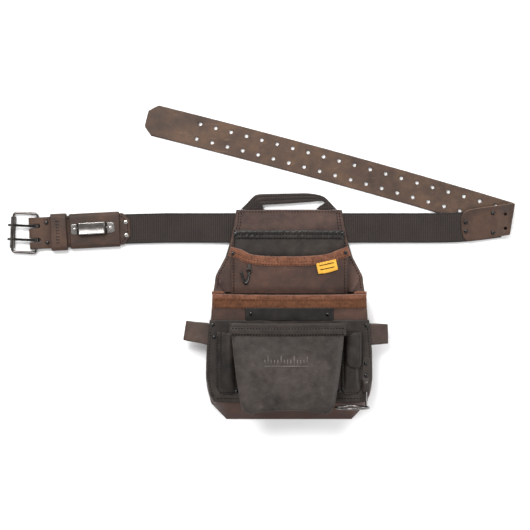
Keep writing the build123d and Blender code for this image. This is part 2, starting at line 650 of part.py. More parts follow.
def main():
    nodes = {
        "web_belt": web_belt(), "buckle_end_leather": chape(), "tail_strap": tail_strap(),
        "belt_rivets": belt_rivets(), "end_rivets": end_rivets(), "buckle_frame": buckle_frame(),
        "buckle_roller": roller(), "prong_upper": prong(1), "prong_lower": prong(-1),
             "keeper_loop": keeper(),
        "clip_sleeve": clip_sleeve(), "tape_clip": tape_clip(), "clip_rivets": clip_rivets(),
        "back_panel": back_panel(), "tunnel_panel": tunnel_panel(), "top_welt": top_welt(),
        "top_pocket": top_pocket(), "top_pocket_hem": top_hem(), "mid_pocket": mid_pocket(),
        "mid_pocket_binding": mid_binding(), "big_pocket_gusset": big_gusset(),
             "big_pocket_front": big_front(),
        "big_pocket_binding": big_binding(), "tool_panel": tool_panel(), "nail_patch": nail_patch(),
        "nail_pocket_gusset": nail_gusset(), "nail_pocket_front": nail_front(),
        "nail_pocket_binding": nail_binding(), "left_tool_pocket": side_pocket(LEFT_POCKET_X),
        "right_tool_pocket": side_pocket(RIGHT_POCKET_X), "hammer_strap": hammer_strap(),
        "hammer_ring": hammer_ring(), "left_hammer_loop": hammer_loop(-1, 171, 9),
        "right_hammer_loop": hammer_loop(1, 161, 1), "carry_handle": carry_handle(),
             "hook_tab": hook_tab(),
        "key_hook": key_hook(), "label": label(), "pouch_rivets": pouch_rivets(),
    }
    solids = {}
    for name, shape in nodes.items():
        pieces = shape if isinstance(shape, list) else [shape]
        solids[name] = [solid for piece in pieces for solid in piece.solids()]
    box = Compound([solid for group in solids.values() for solid in group]).bounding_box()
    shift = Pos(-box.center().X, -box.center().Y, -box.min.Z)
    os.makedirs("parts", exist_ok=True)
    for name, group in solids.items():
        export_step(Compound([shift * solid for solid in group]), f"parts/{name}.step")
    return tuple(shift.position)


if __name__ == "__main__":
    print("origin shift", main())
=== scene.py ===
"""The looks of the tool belt: leather, suede, webbing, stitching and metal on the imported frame.

Lengths are in millimetres in the belt's drawing frame, whose origin is where the belt's centre line
crosses the pouch's. build() turns them into metres in the row's frame.
"""
import math

import bmesh
import bpy
import numpy as np
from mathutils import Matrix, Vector


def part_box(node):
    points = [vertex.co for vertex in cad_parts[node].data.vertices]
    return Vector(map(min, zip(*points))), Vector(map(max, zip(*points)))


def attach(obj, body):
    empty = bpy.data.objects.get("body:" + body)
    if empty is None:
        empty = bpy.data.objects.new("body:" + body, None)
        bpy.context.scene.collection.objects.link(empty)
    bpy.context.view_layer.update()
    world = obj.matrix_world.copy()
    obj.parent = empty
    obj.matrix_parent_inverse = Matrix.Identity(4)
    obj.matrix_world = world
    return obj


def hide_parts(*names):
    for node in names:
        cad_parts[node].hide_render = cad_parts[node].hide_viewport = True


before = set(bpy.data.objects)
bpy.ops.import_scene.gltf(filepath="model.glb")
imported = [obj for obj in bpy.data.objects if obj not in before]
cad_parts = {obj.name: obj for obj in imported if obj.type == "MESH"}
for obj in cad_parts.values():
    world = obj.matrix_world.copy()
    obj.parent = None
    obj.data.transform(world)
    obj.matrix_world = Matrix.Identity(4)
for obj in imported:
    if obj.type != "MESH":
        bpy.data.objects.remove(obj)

for stray in ("Cube", "Light", "Camera"):
    if stray in bpy.data.objects:
        bpy.data.objects.remove(bpy.data.objects[stray], do_unlink=True)
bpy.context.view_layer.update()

low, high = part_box("back_panel")
ORIGIN = np.array([(low.x + high.x) / 2, high.y - 0.0295, low.z])
SCENE = bpy.context.scene


# ---------------------------------------------------------------- materials

WAVES = math.pi * 100        # a wave texture's scale, times the millimetres from crest to crest
RIB = 3.6                    # from one rib of the belt's webbing to the next
HANDLE_RIB = 2.8


def srgb(rgb):
    """A colour given as it looks on screen, 0 to 255, in Blender's linear units."""
    return tuple(((c / 255 + 0.055) / 1.055) ** 2.4 if c > 10 else c / 255 / 12.92 for c in rgb) + (1.0,)


class Shader:
    """A principled material with a few short ways of adding procedural detail to it."""

    def __init__(self, name, roughness=0.6, metallic=0.0, specular=0.3, **sockets):
        self.mat = bpy.data.materials.new(name)
        self.mat.use_nodes = True
        self.tree = self.mat.node_tree
        self.tree.nodes.clear()
        out = self.new("ShaderNodeOutputMaterial")
        self.bsdf = self.new("ShaderNodeBsdfPrincipled")
        self.link(self.bsdf.outputs[0], out.inputs[0])
        self.coord = self.new("ShaderNodeTexCoord").outputs["Object"]
        values = {"Roughness": roughness, "Metallic": metallic, "Specular IOR Level": specular, **sockets}
        for key, value in values.items():
            self.bsdf.inputs[key].default_value = value
        self.height = None

    def new(self, kind, values=None, **settings):
        node = self.tree.nodes.new(kind)
        for key, value in settings.items():
            setattr(node, key, value)
        for key, value in (values or {}).items():
            node.inputs[key].default_value = value
        return node

    def link(self, a, b):
        self.tree.links.new(a, b)

    def feed(self, socket, value):
        """Links a socket to another's output, or gives it a plain value."""
        if isinstance(value, bpy.types.NodeSocket):
            self.link(value, socket)
        else:
            socket.default_value = value

    def placed(self, stretch=(1, 1, 1), turn=0.0, shift=0.0):
        """The object's coordinates, stretched along the axes."""
        node = self.new("ShaderNodeMapping", {"Scale": stretch, "Rotation": (0, 0, turn),
                                              "Location": (shift, shift * 0.7, shift * 0.3)})
        self.link(self.coord, node.inputs["Vector"])
        return node.outputs[0]

    def noise(self, scale, detail=4.0, rough=0.55, stretch=(1, 1, 1), turn=0.0, shift=0.0, distortion=0.0):
        node = self.new("ShaderNodeTexNoise", {"Scale": scale, "Detail": detail, "Roughness": rough,
                                               "Distortion": distortion})
        self.link(self.placed(stretch, turn, shift), node.inputs["Vector"])
        return node.outputs[0]

    def cells(self, scale, shift):
        node = self.new("ShaderNodeTexVoronoi", {"Scale": scale}, feature="SMOOTH_F1")
        self.link(self.placed(shift=shift), node.inputs["Vector"])
        return node.outputs["Distance"]

    def wave(self, scale, direction, distortion=0.0):
        node = self.new("ShaderNodeTexWave", {"Scale": scale, "Distortion": distortion},
                        wave_type="BANDS", bands_direction=direction)
        self.link(self.coord, node.inputs["Vector"])
        return node.outputs["Fac"]

    def math(self, operation, a, b):
        node = self.new("ShaderNodeMath", operation=operation)
        self.feed(node.inputs[0], a)
        self.feed(node.inputs[1], b)
        return node.outputs[0]

    def added(self, *shares):
        """Textures added up, each times its share."""
        total = None
        for value, share in shares:
            part = self.math("MULTIPLY", value, share)
            total = part if total is None else self.math("ADD", total, part)
        return total

    def ramp(self, factor, *stops):
        node = self.new("ShaderNodeValToRGB")
        band = node.color_ramp.elements
        while len(band) < len(stops):
            band.new(0.5)
        for element, (place, colour) in zip(band, stops):
            element.position = place
            element.color = colour
        self.link(factor, node.inputs[0])
        return node.outputs[0]

    def mix(self, factor, a, b):
        node = self.new("ShaderNodeMix", data_type="RGBA")
        for k, value in ((0, factor), (6, a), (7, b)):
            self.feed(node.inputs[k], value)
        return node.outputs[2]

    def spread(self, factor, low, high):
        """A factor spread over a range, such as a roughness that varies."""
        node = self.new("ShaderNodeMapRange", {"From Min": 0.3, "From Max": 0.7, "To Min": low,
                                               "To Max": high})
        self.link(factor, node.inputs["Value"])
        return node.outputs[0]

    def bump(self, height, depth, strength=1.0):
        """Adds relief, depth in millimetres, on top of what is there."""
        node = self.new("ShaderNodeBump", {"Distance": depth / 1000, "Strength": strength})
        self.link(height, node.inputs["Height"])
        if self.height is not None:
            self.link(self.height, node.inputs["Normal"])
        self.height = node.outputs[0]
        self.link(self.height, self.bsdf.inputs["Normal"])


def leather(name, base, light, dark, rough=(0.5, 0.68), specular=0.25, seed=0.0, scuffs=0.5):
    """Oiled pull-up leather: cloudy colour, pale scuffs and creases, and a fine pebbled grain."""
    s = Shader(name, specular=specular)
    base, light, dark = srgb(base), srgb(light), srgb(dark)
    clouds = s.noise(13, 5, 0.6, shift=seed, distortion=0.6)
    blotches = s.noise(75, 6, 0.62, shift=seed + 3)
    specks = s.noise(900, 3, 0.6, shift=seed)
    tone = s.added((clouds, 0.55), (blotches, 0.33), (specks, 0.12))
    colour = s.ramp(tone, (0.38, dark), (0.5, base), (0.63, light))
    worn = s.noise(38, 9, 0.72, stretch=(1, 2.6, 1), turn=0.5, shift=seed + 7, distortion=1.2)
    worn = s.math("MULTIPLY", s.ramp(worn, (0.58, (0, 0, 0, 1)), (0.76, (1, 1, 1, 1))), scuffs)
    pale = tuple(min(1.0, c * 1.5 + 0.012) for c in light[:3]) + (1.0,)
    s.link(s.mix(worn, colour, pale), s.bsdf.inputs["Base Color"])
    s.link(s.spread(blotches, *rough), s.bsdf.inputs["Roughness"])
    s.bump(clouds, 1.3, 0.35)
    s.bump(blotches, 0.5, 0.5)
    s.bump(s.cells(1050, seed), 0.16, 0.55)
    s.bump(specks, 0.08, 0.5)
    return s.mat


def suede(name, base, light, dark, seed=0.0):
    """Napped leather: matt, soft, with lighter and darker brushed patches."""
    s = Shader(name, roughness=0.93, specular=0.12, **{"Sheen Weight": 0.25, "Sheen Roughness": 0.5})
    base, light, dark = srgb(base), srgb(light), srgb(dark)
    brushed = s.noise(55, 6, 0.65, stretch=(1, 1.8, 1), shift=seed, distortion=0.8)
    tufts = s.noise(230, 5, 0.7, stretch=(1.5, 0.8, 1), shift=seed)
    nap = s.noise(950, 4, 0.7, shift=seed)
    tone = s.added((brushed, 0.4), (tufts, 0.35), (nap, 0.25))
    s.link(s.ramp(tone, (0.4, dark), (0.5, base), (0.62, light)), s.bsdf.inputs["Base Color"])
    s.bump(brushed, 0.6, 0.4)
    s.bump(tufts, 0.5, 0.6)
    s.bump(nap, 0.28, 0.8)
    return s.mat


def webbing(name, base, light, pitch):
    """Woven webbing: a tight weave between the ribs that the mesh has, with a little lint."""
    s = Shader(name, roughness=0.82, specular=0.16, **{"Sheen Weight": 0.12, "Sheen Roughness": 0.6})
    across = s.wave(WAVES / pitch, "X")
    along = s.wave(WAVES / (pitch * 0.62), "Y", 0.4)
    lint = s.noise(420, 5, 0.7)
    patches = s.noise(24, 4, 0.6)
    weave = s.math("MULTIPLY", across, s.math("ADD", s.math("MULTIPLY", along, 0.5), 0.5))
    tone = s.added((weave, 0.3), (lint, 0.45), (patches, 0.25))
    s.link(s.ramp(tone, (0.3, srgb(base)), (0.68, srgb(light))), s.bsdf.inputs["Base Color"])
    s.bump(weave, 0.3, 0.8)
    s.bump(lint, 0.12, 0.6)
    return s.mat


def metal(name, base, rough, scratches=0.35, tarnish=None, **sockets):
    """Worked steel: fine scratches and slightly uneven polish."""
    s = Shader(name, metallic=1.0, specular=0.5, **sockets)
    fine = s.noise(260, 6, 0.7, stretch=(1, 7, 3))
    clouds = s.noise(60, 4, 0.6)
    dull = tarnish or tuple(c * 0.7 for c in base[:3]) + (1.0,)
    s.link(s.ramp(clouds, (0.38, dull), (0.6, base)), s.bsdf.inputs["Base Color"])
    s.link(s.spread(fine, rough * 0.75, rough * 1.4), s.bsdf.inputs["Roughness"])
    s.bump(fine, 0.012, scratches)
    s.bump(clouds, 0.03, 0.2)
    return s.mat


def cloth(name, base, light):
    """The tag's plain close weave."""
    s = Shader(name, roughness=0.75, specular=0.2)
    weave = s.math("MULTIPLY", s.wave(420, "X", 0.3), s.wave(420, "Y", 0.3))
    tone = s.added((s.noise(90, 4), 0.7), (weave, 0.3))
    s.link(s.ramp(tone, (0.3, srgb(base)), (0.6, srgb(light))), s.bsdf.inputs["Base Color"])
    s.bump(weave, 0.12, 0.7)
    return s.mat


def thread(name, base, light):
    s = Shader(name, roughness=0.9, specular=0.06)
    twist = s.noise(1500, 2, 0.5)
    s.link(s.ramp(twist, (0.35, srgb(base)), (0.65, srgb(light))), s.bsdf.inputs["Base Color"])
    s.bump(twist, 0.1, 0.6)
    return s.mat


BROWN = leather("brown_leather", (67, 50, 44), (82, 60, 51), (50, 36, 33), seed=1.0)
TAIL = leather("tail_leather", (71, 54, 44), (88, 67, 51), (54, 42, 35), seed=4.0, scuffs=0.8)
LOOP = leather("loop_leather", (61, 48, 42), (75, 59, 51), (46, 36, 33), seed=6.0)
END = leather("buckle_end_leather_face", (57, 41, 33), (75, 54, 42), (40, 29, 24), seed=3.0, scuffs=0.9)
# A darker copy of the pocket leather for the big pocket's side wall: painted shade.
SHADED_SIDE_LEATHER = leather("bag_side_leather_painted_shade", (59, 36, 27), (75, 47, 36), (43, 28, 21), seed=27.0)
HEM = leather("hem_leather", (21, 16, 13), (34, 29, 23), (12, 8, 7), (0.36, 0.52), 0.36, 19.0, 0.8)
PATCH = leather("pocket_patch_leather", (20, 17, 14), (31, 26, 23), (12, 10, 9), (0.42, 0.55), 0.25, 29.0,
                0.3)
# Lighter leather for the nail pocket front's edge faces: a painted highlight where the edges catch the
# light.
NAIL_EDGE_HIGHLIGHT = leather("nail_pocket_edge_painted_highlight", (78, 70, 66), (96, 87, 82), (58, 51, 48), seed=43.0)
TOOL = leather("tool_pocket_leather", (34, 29, 25), (49, 42, 38), (21, 17, 15), (0.4, 0.55), 0.28, 15.0,
               0.4)
POCKET_BROWN = leather("pocket_leather", (64, 44, 36), (79, 54, 44), (49, 34, 29), seed=9.0)
CHARCOAL = leather("charcoal_leather", (40, 34, 30), (54, 47, 43), (27, 22, 21), (0.42, 0.6), 0.22, 13.0,
                   0.3)
NAIL = leather("nail_pocket_leather", (47, 41, 37), (61, 54, 51), (31, 27, 25), (0.42, 0.58), 0.3, 17.0,
               0.7)
FLESH = suede("leather_inside", (96, 76, 62), (118, 94, 76), (70, 55, 46), 2.0)
DARK_FLESH = suede("charcoal_inside", (42, 38, 36), (56, 50, 47), (28, 25, 24), 2.0)
EDGE = leather("burnished_edge", (50, 37, 32), (72, 53, 44), (34, 26, 23), (0.35, 0.5), 0.35, 21.0, 0.2)
RAW_EDGE = leather("raw_edge", (92, 72, 60), (112, 88, 72), (70, 54, 45), (0.6, 0.8), 0.2, 23.0, 0.2)
BLACK_EDGE = leather("black_edge", (26, 23, 22), (40, 36, 34), (18, 16, 15), (0.4, 0.55), 0.3, 25.0, 0.2)
SUEDE = suede("tan_suede", (98, 62, 46), (119, 80, 60), (69, 43, 30), 5.0)
# A darker copy of the tan suede: painted shade on the big binding's front leg below the bead and on the
# returns' edges.
SUEDE_SHADED = suede("suede_painted_shade", (81, 50, 32), (100, 63, 43), (57, 34, 22), 8.0)
WEB = webbing("belt_webbing", (23, 18, 17), (53, 44, 40), RIB)
WEB_EDGE = webbing("webbing_edge", (16, 14, 14), (34, 30, 29), RIB)
HANDLE_WEB = webbing("handle_webbing", (25, 20, 18), (58, 48, 44), HANDLE_RIB)
STEEL = metal("bright_steel", (0.72, 0.70, 0.67, 1), 0.2, 0.3, (0.5, 0.48, 0.45, 1))
DARK_STEEL = metal("dark_steel", (0.13, 0.117, 0.11, 1), 0.15, 0.3, (0.06, 0.054, 0.051, 1))
RING_STEEL = metal("ring_steel", (0.2, 0.19, 0.183, 1), 0.15, 0.3, (0.1, 0.094, 0.09, 1))
CLIP_STEEL = metal("clip_steel", (0.19, 0.178, 0.171, 1), 0.3, 0.4, (0.13, 0.121, 0.115, 1))
BLACK = metal("black_lacquer", (0.035, 0.034, 0.034, 1), 0.22, 0.2,
              **{"Coat Weight": 0.6, "Coat Roughness": 0.12})
YELLOW = cloth("yellow_cloth", (196, 142, 46), (224, 172, 72))
TAG_EDGE = cloth("tag_edge", (90, 62, 26), (130, 92, 40))
DARK_THREAD = thread("dark_thread", (9, 8, 8), (20, 17, 16))
TAN_THREAD = thread("tan_thread", (62, 38, 28), (88, 56, 42))
BROWN_THREAD = thread("brown_thread", (26, 18, 16), (42, 31, 26))
STAMP = leather("stamped_mark", (84, 77, 72), (104, 96, 90), (64, 58, 54), (0.35, 0.5), 0.3, 31.0, 0.2)
DEEP_STAMP = leather("pressed_mark", (40, 32, 28), (54, 43, 37), (28, 22, 20), (0.4, 0.5), 0.3, 33.0, 0.2)


def brown(face):
    """A brown sheet's face, edge and back, and its slot in the record."""
    return [face, EDGE, FLESH], "leather_brown"


def black(face, slot="leather_charcoal"):
    return [face, BLACK_EDGE, DARK_FLESH], slot


# ---------------------------------------------------------------- meshes

def mesh_object(name, verts, faces, mats, face_mats, smooth):
    """A mesh from drawing-frame millimetres, with its faces turned outwards."""
    mesh = bpy.data.meshes.new(name)
    mesh.from_pydata((np.asarray(verts, float) / 1000 + ORIGIN).tolist(), [], faces)
    for mat in mats:
        mesh.materials.append(mat)
    if face_mats is not None:
        mesh.polygons.foreach_set("material_index", np.asarray(face_mats, np.int32))
    bm = bmesh.new()
    bm.from_mesh(mesh)
    bmesh.ops.recalc_face_normals(bm, faces=bm.faces)
    for face in bm.faces:
        face.smooth = smooth
    bm.to_mesh(mesh)
    bm.free()
    obj = bpy.data.objects.new(name, mesh)
    SCENE.collection.objects.link(obj)
    return obj


def build(name, verts, faces, body, mats, slot, face_mats=None, stands_for=()):
    """A piece that rides on a body and may stand for CAD nodes."""
    obj = mesh_object(name, verts, faces, mats, face_mats, True)
    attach(obj, body)
    if stands_for:
        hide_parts(*stands_for)
    return obj


def ease(a, b, x):
    t = np.clip((np.asarray(x, float) - a) / (b - a), 0, 1)
    return t * t * (3 - 2 * t)


def rimmed(n, rim):
    """n even steps from 0 to 1, with closer ones at both ends: rim is their share of the whole."""
    inner = np.linspace(3 * rim, 1 - 3 * rim, n)
    return np.concatenate([[0, rim, 2 * rim], inner[1:-1], [1 - 2 * rim, 1 - rim, 1]])


TURN = 6.283


def ripple(x, y, size, seed):
    """Gentle unevenness between -1 and 1, size millimetres from crest to crest."""
    random = np.random.RandomState(seed)
    total = 0
    for _ in range(6):
        angle, phase = random.uniform(0, TURN), random.uniform(0, TURN)
        stretch = random.uniform(0.6, 1.5)
        ahead = x * math.cos(angle) + y * math.sin(angle)
        total = total + np.sin(ahead * TURN / size * stretch + phase)
    return total / 4


def slab(mid, thick, wrap=False):
    """Verts, faces and face materials (0 front, 1 edge, 2 back) of a sheet round a grid of points."""
    nu, nv = mid.shape[:2]
    if wrap:
        du = np.roll(mid, -1, 0) - np.roll(mid, 1, 0)
    else:
        du = np.gradient(mid, axis=0)
    normal = np.cross(du, np.gradient(mid, axis=1))
    normal /= np.linalg.norm(normal, axis=2, keepdims=True) + 1e-12
    half = np.full((nu, nv, 1), thick / 2)
    half[:, 0] *= 0.7
    half[:, -1] *= 0.7
    if not wrap:
        half[0] *= 0.7
        half[-1] *= 0.7
    top, bottom = mid + normal * half, mid - normal * half

    def index(i, j):
        return (i % nu) * nv + j

    if wrap:
        loops = [[(i, 0) for i in range(nu)], [(i, nv - 1) for i in range(nu - 1, -1, -1)]]
    else:
        loops = [[(i, 0) for i in range(nu)] + [(nu - 1, j) for j in range(1, nv)]
                 + [(i, nv - 1) for i in range(nu - 2, -1, -1)] + [(0, j) for j in range(nv - 2, 0, -1)]]
    verts = [top.reshape(-1, 3), bottom.reshape(-1, 3)]
    faces, mats = [], []
    steps = nu if wrap else nu - 1
    for i in range(steps):
        for j in range(nv - 1):
            quad = (index(i, j), index(i + 1, j), index(i + 1, j + 1), index(i, j + 1))
            faces += [quad, tuple(nu * nv + q for q in reversed(quad))]
            mats += [0, 2]
    base = 2 * nu * nv
    for loop in loops:
        rim = []
        for i, j in loop:
            inside = mid[i if wrap else min(max(i, 1), nu - 2), min(max(j, 1), nv - 2)]
            out = mid[i, j] - inside
            rim.append(mid[i, j] + out / (np.linalg.norm(out) + 1e-12) * thick * 0.28)
        verts.append(np.array(rim))
        count = len(loop)
        for k in range(count):
            n = (k + 1) % count
            a, b = index(*loop[k]), index(*loop[n])
            faces += [(b, a, base + k, base + n), (base + n, base + k, nu * nv + a, nu * nv + b)]
            mats += [1, 1]
        base += count
    return np.concatenate(verts), faces, mats


def sheet(name, mid, thick, body, mats, slot, stands_for=(), wrap=False):
    verts, faces, face_mats = slab(mid, thick, wrap)
    return build(name, verts, faces, body, mats, slot, face_mats, stands_for)


def sweep(rings):
    """Verts and faces of a solid through closed rings, all with the same number of points."""
    rings = np.asarray(rings, float)
    n, m = rings.shape[:2]
    faces = [(i * m + j, i * m + (j + 1) % m, (i + 1) * m + (j + 1) % m, (i + 1) * m + j)
             for i in range(n - 1) for j in range(m)]
    faces += [tuple(range(m - 1, -1, -1)), tuple((n - 1) * m + j for j in range(m))]
    return rings.reshape(-1, 3), faces


def smooth_line(points, per=8):
    """A Catmull-Rom line through points."""
    p = np.asarray(points, float)
    p = np.concatenate([[2 * p[0] - p[1]], p, [2 * p[-1] - p[-2]]])
    t = np.linspace(0, 1, per, endpoint=False)[:, None]
    out = []
    for a, b, c, d in zip(p, p[1:], p[2:], p[3:]):
        out.append(0.5 * (2 * b + (c - a) * t + (2 * a - 5 * b + 4 * c - d) * t ** 2
                          + (3 * b - a - 3 * c + d) * t ** 3))
    return np.concatenate(out + [p[-2:-1]])


def rounded(points, times=3):
    """An open line with its corners cut round."""
    p = np.asarray(points, float)
    for _ in range(times):
        cut = [p[0]]
        for a, b in zip(p, p[1:]):
            cut += [a * 0.75 + b * 0.25, a * 0.25 + b * 0.75]
        p = np.array(cut + [p[-1]])
    return p


def run_along(p):
    """How far along a line each of its points is."""
    return np.concatenate([[0], np.cumsum(np.linalg.norm(np.diff(p, axis=0), axis=1))])


def read_off(at, run, p):
    """Places on the line through points p, which stand at run."""
    return np.stack([np.interp(at, run, column) for column in p.T], -1)


def turns(n):
    """n even angles round a circle."""
    return np.linspace(0, 2 * np.pi, n, endpoint=False)


def surface(x, y, z):
    """Points from coordinates that share rows and columns."""
    return np.stack(np.broadcast_arrays(x, y, z), -1)


def rectangle(x0, y0, x1, y1):
    return [(x0, y0), (x1, y0), (x1, y1), (x0, y1)]


def walls(outline, low_z, high_z):
    """The two rings of an upright solid over an (x, y) outline."""
    outline = list(outline)
    return np.array([[(x, y, z) for x, y in outline] for z in (low_z, high_z)])


def along(points, step):
    """Points at an even step along a line."""
    p = np.asarray(points, float)
    run = run_along(p)
    count = max(2, int(round(run[-1] / step)) + 1)
    return read_off(np.linspace(0, run[-1], count), run, p)


def tube(points, radii, sides=12):
    """Rings of a round bar along a line, with rounded ends."""
    p = np.asarray(points, float)
    radii = np.broadcast_to(np.asarray(radii, float), (len(p),)).copy()
    tangents = np.gradient(p, axis=0)
    tangents /= np.linalg.norm(tangents, axis=1, keepdims=True) + 1e-12
    side = np.cross(tangents[0], (0.0, 0.0, 1.0))
    if np.linalg.norm(side) < 0.1:
        side = np.array([1.0, 0.0, 0.0])
    rings = []
    angles = turns(sides)
    ends = {0: [(-0.95, 0.3), (-0.7, 0.7)], len(p) - 1: [(0.7, 0.7), (0.95, 0.3)]}
    for i, (centre, tangent, radius) in enumerate(zip(p, tangents, radii)):
        side = side - tangent * side.dot(tangent)
        side /= np.linalg.norm(side)
        other = np.cross(tangent, side)
        ring = np.cos(angles)[:, None] * side + np.sin(angles)[:, None] * other
        whole = [(0.0, 1.0)]
        if i == 0:
            whole = ends[0] + whole
        if i == len(p) - 1:
            whole = whole + ends[i]
        rings += [centre + tangent * radius * shift + ring * radius * share for shift, share in whole]
    return rings


def joined(parts, index=0):
    """Several (verts, faces) groups as one, with a material index for each face."""
    verts, faces, base = [], [], 0
    for part_verts, part_faces in parts:
        verts.append(np.asarray(part_verts, float))
        faces += [tuple(base + i for i in face) for face in part_faces]
        base += len(part_verts)
    return np.concatenate(verts), faces, [index] * len(faces)


def merged(name, parts, body, mats, slot, stands_for=()):
    verts, faces, face_mats = joined(parts)
    return build(name, verts, faces, body, mats, slot, face_mats, stands_for)


def cut(obj, cutters):
    """Takes (verts, faces) solids out of a piece; the cut faces take the piece's edge material."""
    verts, faces, edge = joined(cutters, 1)
    tool = mesh_object("cutter", verts, faces, obj.data.materials, edge, False)
    modifier = obj.modifiers.new("cut", "BOOLEAN")
    modifier.object = tool
    modifier.operation = "DIFFERENCE"
    modifier.solver = "EXACT"
    bpy.context.view_layer.update()
    result = bpy.data.meshes.new_from_object(obj.evaluated_get(bpy.context.evaluated_depsgraph_get()))
    obj.modifiers.clear()
    obj.data = result
    bpy.data.objects.remove(tool, do_unlink=True)


def drum(x, y, low_z, high_z, radius, sides=20):
    angles = turns(sides)
    return sweep(walls(zip(x + radius * np.cos(angles), y + radius * np.sin(angles)), low_z, high_z))


def dome(x, y, z, radius, height):
    """A rivet: a low flange with a domed, slightly flattened head and a small dimple round its foot."""
    profile = [(1.12, -0.4), (1.12, 0.12), (1.0, 0.24), (0.97, 0.34), (0.93, 0.62), (0.8, 0.86),
               (0.58, 0.97), (0.3, 1.0), (0.02, 1.0)]
    angles = turns(20)
    return sweep([surface(x - np.cos(angles) * radius * r, y - np.sin(angles) * radius * r, z + height * h)
                  for r, h in profile])


def rivets(name, places, body, mat, slot, stands_for, radius, height):
    merged(name, [dome(*place, radius, height) for place in places], body, [mat], slot, stands_for)


STITCHES = {}
FINE = {"length": 2.6, "pitch": 4.8}
THREAD_LIFT = 0.16           # of a stitch above the surface it is on
THREADS = {"dark": DARK_THREAD, "brown": BROWN_THREAD, "tan": TAN_THREAD}
THREAD_SLOTS = {"dark": "leather_charcoal", "brown": "leather_brown", "tan": "suede_tan"}


def stitch(line, kind="dark", length=2.8, pitch=5.0, body="pouch"):
    """A row of stitches along a line on a surface, kept for the body's thread piece."""
    spots = along(line, pitch)
    ring = turns(6)
    for a, b in zip(spots, spots[1:]):
        direction = (b - a) / (np.linalg.norm(b - a) + 1e-12)
        side = np.cross(direction, (0.0, 0.0, 1.0))
        side /= np.linalg.norm(side) + 1e-12
        up = np.cross(side, direction)
        centre = (a + b) / 2 + up * THREAD_LIFT
        rings = [centre + direction * length * s - up * sink
                 + (np.cos(ring)[:, None] * side + np.sin(ring)[:, None] * up) * radius
                 for s, radius, sink in ((-0.5, 0.4, 0.4), (-0.3, 0.72, 0.0), (0.3, 0.72, 0.0),
                                         (0.5, 0.4, 0.4))]
        STITCHES.setdefault((body, kind), []).append(sweep(rings))


# ---------------------------------------------------------------- belt

def end_frame(p):
    """From the buckle end's own frame to the drawing frame."""
    p = np.asarray(p, float)
    turn = math.radians(3.0)
    c, s = math.cos(turn), math.sin(turn)
    return np.stack([p[..., 0] * c - p[..., 1] * s - 270.0, p[..., 0] * s + p[..., 1] * c - 1.2,
                     p[..., 2]], -1)


def soft_bend(x, width=14.0):
    return np.logaddexp(0, x / width) * width


def belt_webbing():
    x = np.arange(-388.5, 346.5, 0.8)
    v = np.array([-1, -0.985, -0.955, -0.93, -0.6, -0.2, 0.2, 0.6, 0.93, 0.955, 0.985, 1])
    centre = (-1.2 * ease(-190, -270, x) - math.tan(math.radians(3)) * soft_bend(-270 - x)
              + math.tan(math.radians(8)) * soft_bend(x - 282))
    slope = np.gradient(centre, x)
    rib = 0.3 * np.cos(2 * np.pi * x / RIB)
    wide = x[:, None] - slope[:, None] * v * 24
    y = centre[:, None] + v * 23.9
    z = 5.7 + np.where(np.abs(v) > 0.94, 0.1, 1.0) * rib[:, None] + 0.12 * ripple(wide, y, 90, 3)
    verts, faces, mats = slab(surface(wide, y, z), 2.2)
    columns = len(v)
    for k, face in enumerate(faces):
        j = face[0] % columns if mats[k] != 1 else 0
        if mats[k] == 2:
            mats[k] = 0
        if mats[k] == 0 and (j <= 2 or j >= columns - 4):
            mats[k] = 1
    build("belt_webbing", verts, faces, "belt", [WEB, WEB_EDGE], "webbing_black", mats, ("web_belt",))


def buckle_end():
    """The leather folded round the buckle's bar, with its prong slots."""
    path = rounded([(8.4, 3.5), (-60, 3.5), (-128, 3.5), (-140, 2.0), (-153, 1.9), (-156.9, 3.5),
                    (-156.9, 8.1), (-153, 9.7), (-140, 9.6), (-128, 8.1), (-60, 8.1), (8.4, 8.1)], 3)
    path = along(path, 1.6)
    v = rimmed(15, 0.016) * 2 - 1
    half = np.where(path[:, 0] > -3.5, 25.4 - 11.0 * ease(-3.5, 8.6, path[:, 0]) ** 0.9, 25.4)
    x = path[:, :1] + 0 * v
    y = half[:, None] * v + 0.35 * ripple(x, 0 * v, 70, 5) * v
    p = surface(x, y, path[:, 1:] + 0.1 * ripple(x, y, 40, 6))
    piece = sheet("buckle_end_leather_skin", end_frame(p), 2.1, "belt", *brown(END),
                  ("buckle_end_leather",))
    cutters = []
    for side in (-11.5, 11.5):
        outline = [(-175, -3.5), (-142.3, -3.5)]
        outline += [(-142.3 + 3.5 * math.cos(a), 3.5 * math.sin(a)) for a in np.linspace(-1.4, 1.4, 9)]
        outline += [(-142.3, 3.5), (-175, 3.5)]
        outline = [(x, y + side) for x, y in outline]
        cutters.append(sweep(end_frame(walls(outline, -3, 20))))
    cut(piece, cutters)
    edge = [(-139, 21.8), (-6, 21.8), (4.6, 11.6), (4.6, -11.6), (-6, -21.8), (-139, -21.8)]
    for line in (edge[:2], edge[1:5], edge[4:]):
        stitch(end_frame([(x, y, 9.2) for x, y in line]), "brown", body="belt")


def rounded_box(half, bottom, top, radius, crown=0.0):
    """A closed (y, z) line round a flattened tube."""
    points = []
    for cy, cz, start in ((half - radius, bottom + radius, -90), (half - radius, top - radius, 0),
                          (radius - half, top - radius, 90), (radius - half, bottom + radius, 180)):
        points += [(cy + radius * math.cos(math.radians(start + a)),
                    cz + radius * math.sin(math.radians(start + a)))
                   for a in range(0, 91, 15)]
    points.append(points[0])
    line = along(points, 2.2)[:-1]
    high = line[:, 1] > (bottom + top) / 2
    line[high, 1] += crown * np.cos(line[high, 0] / half * 1.5)
    return line


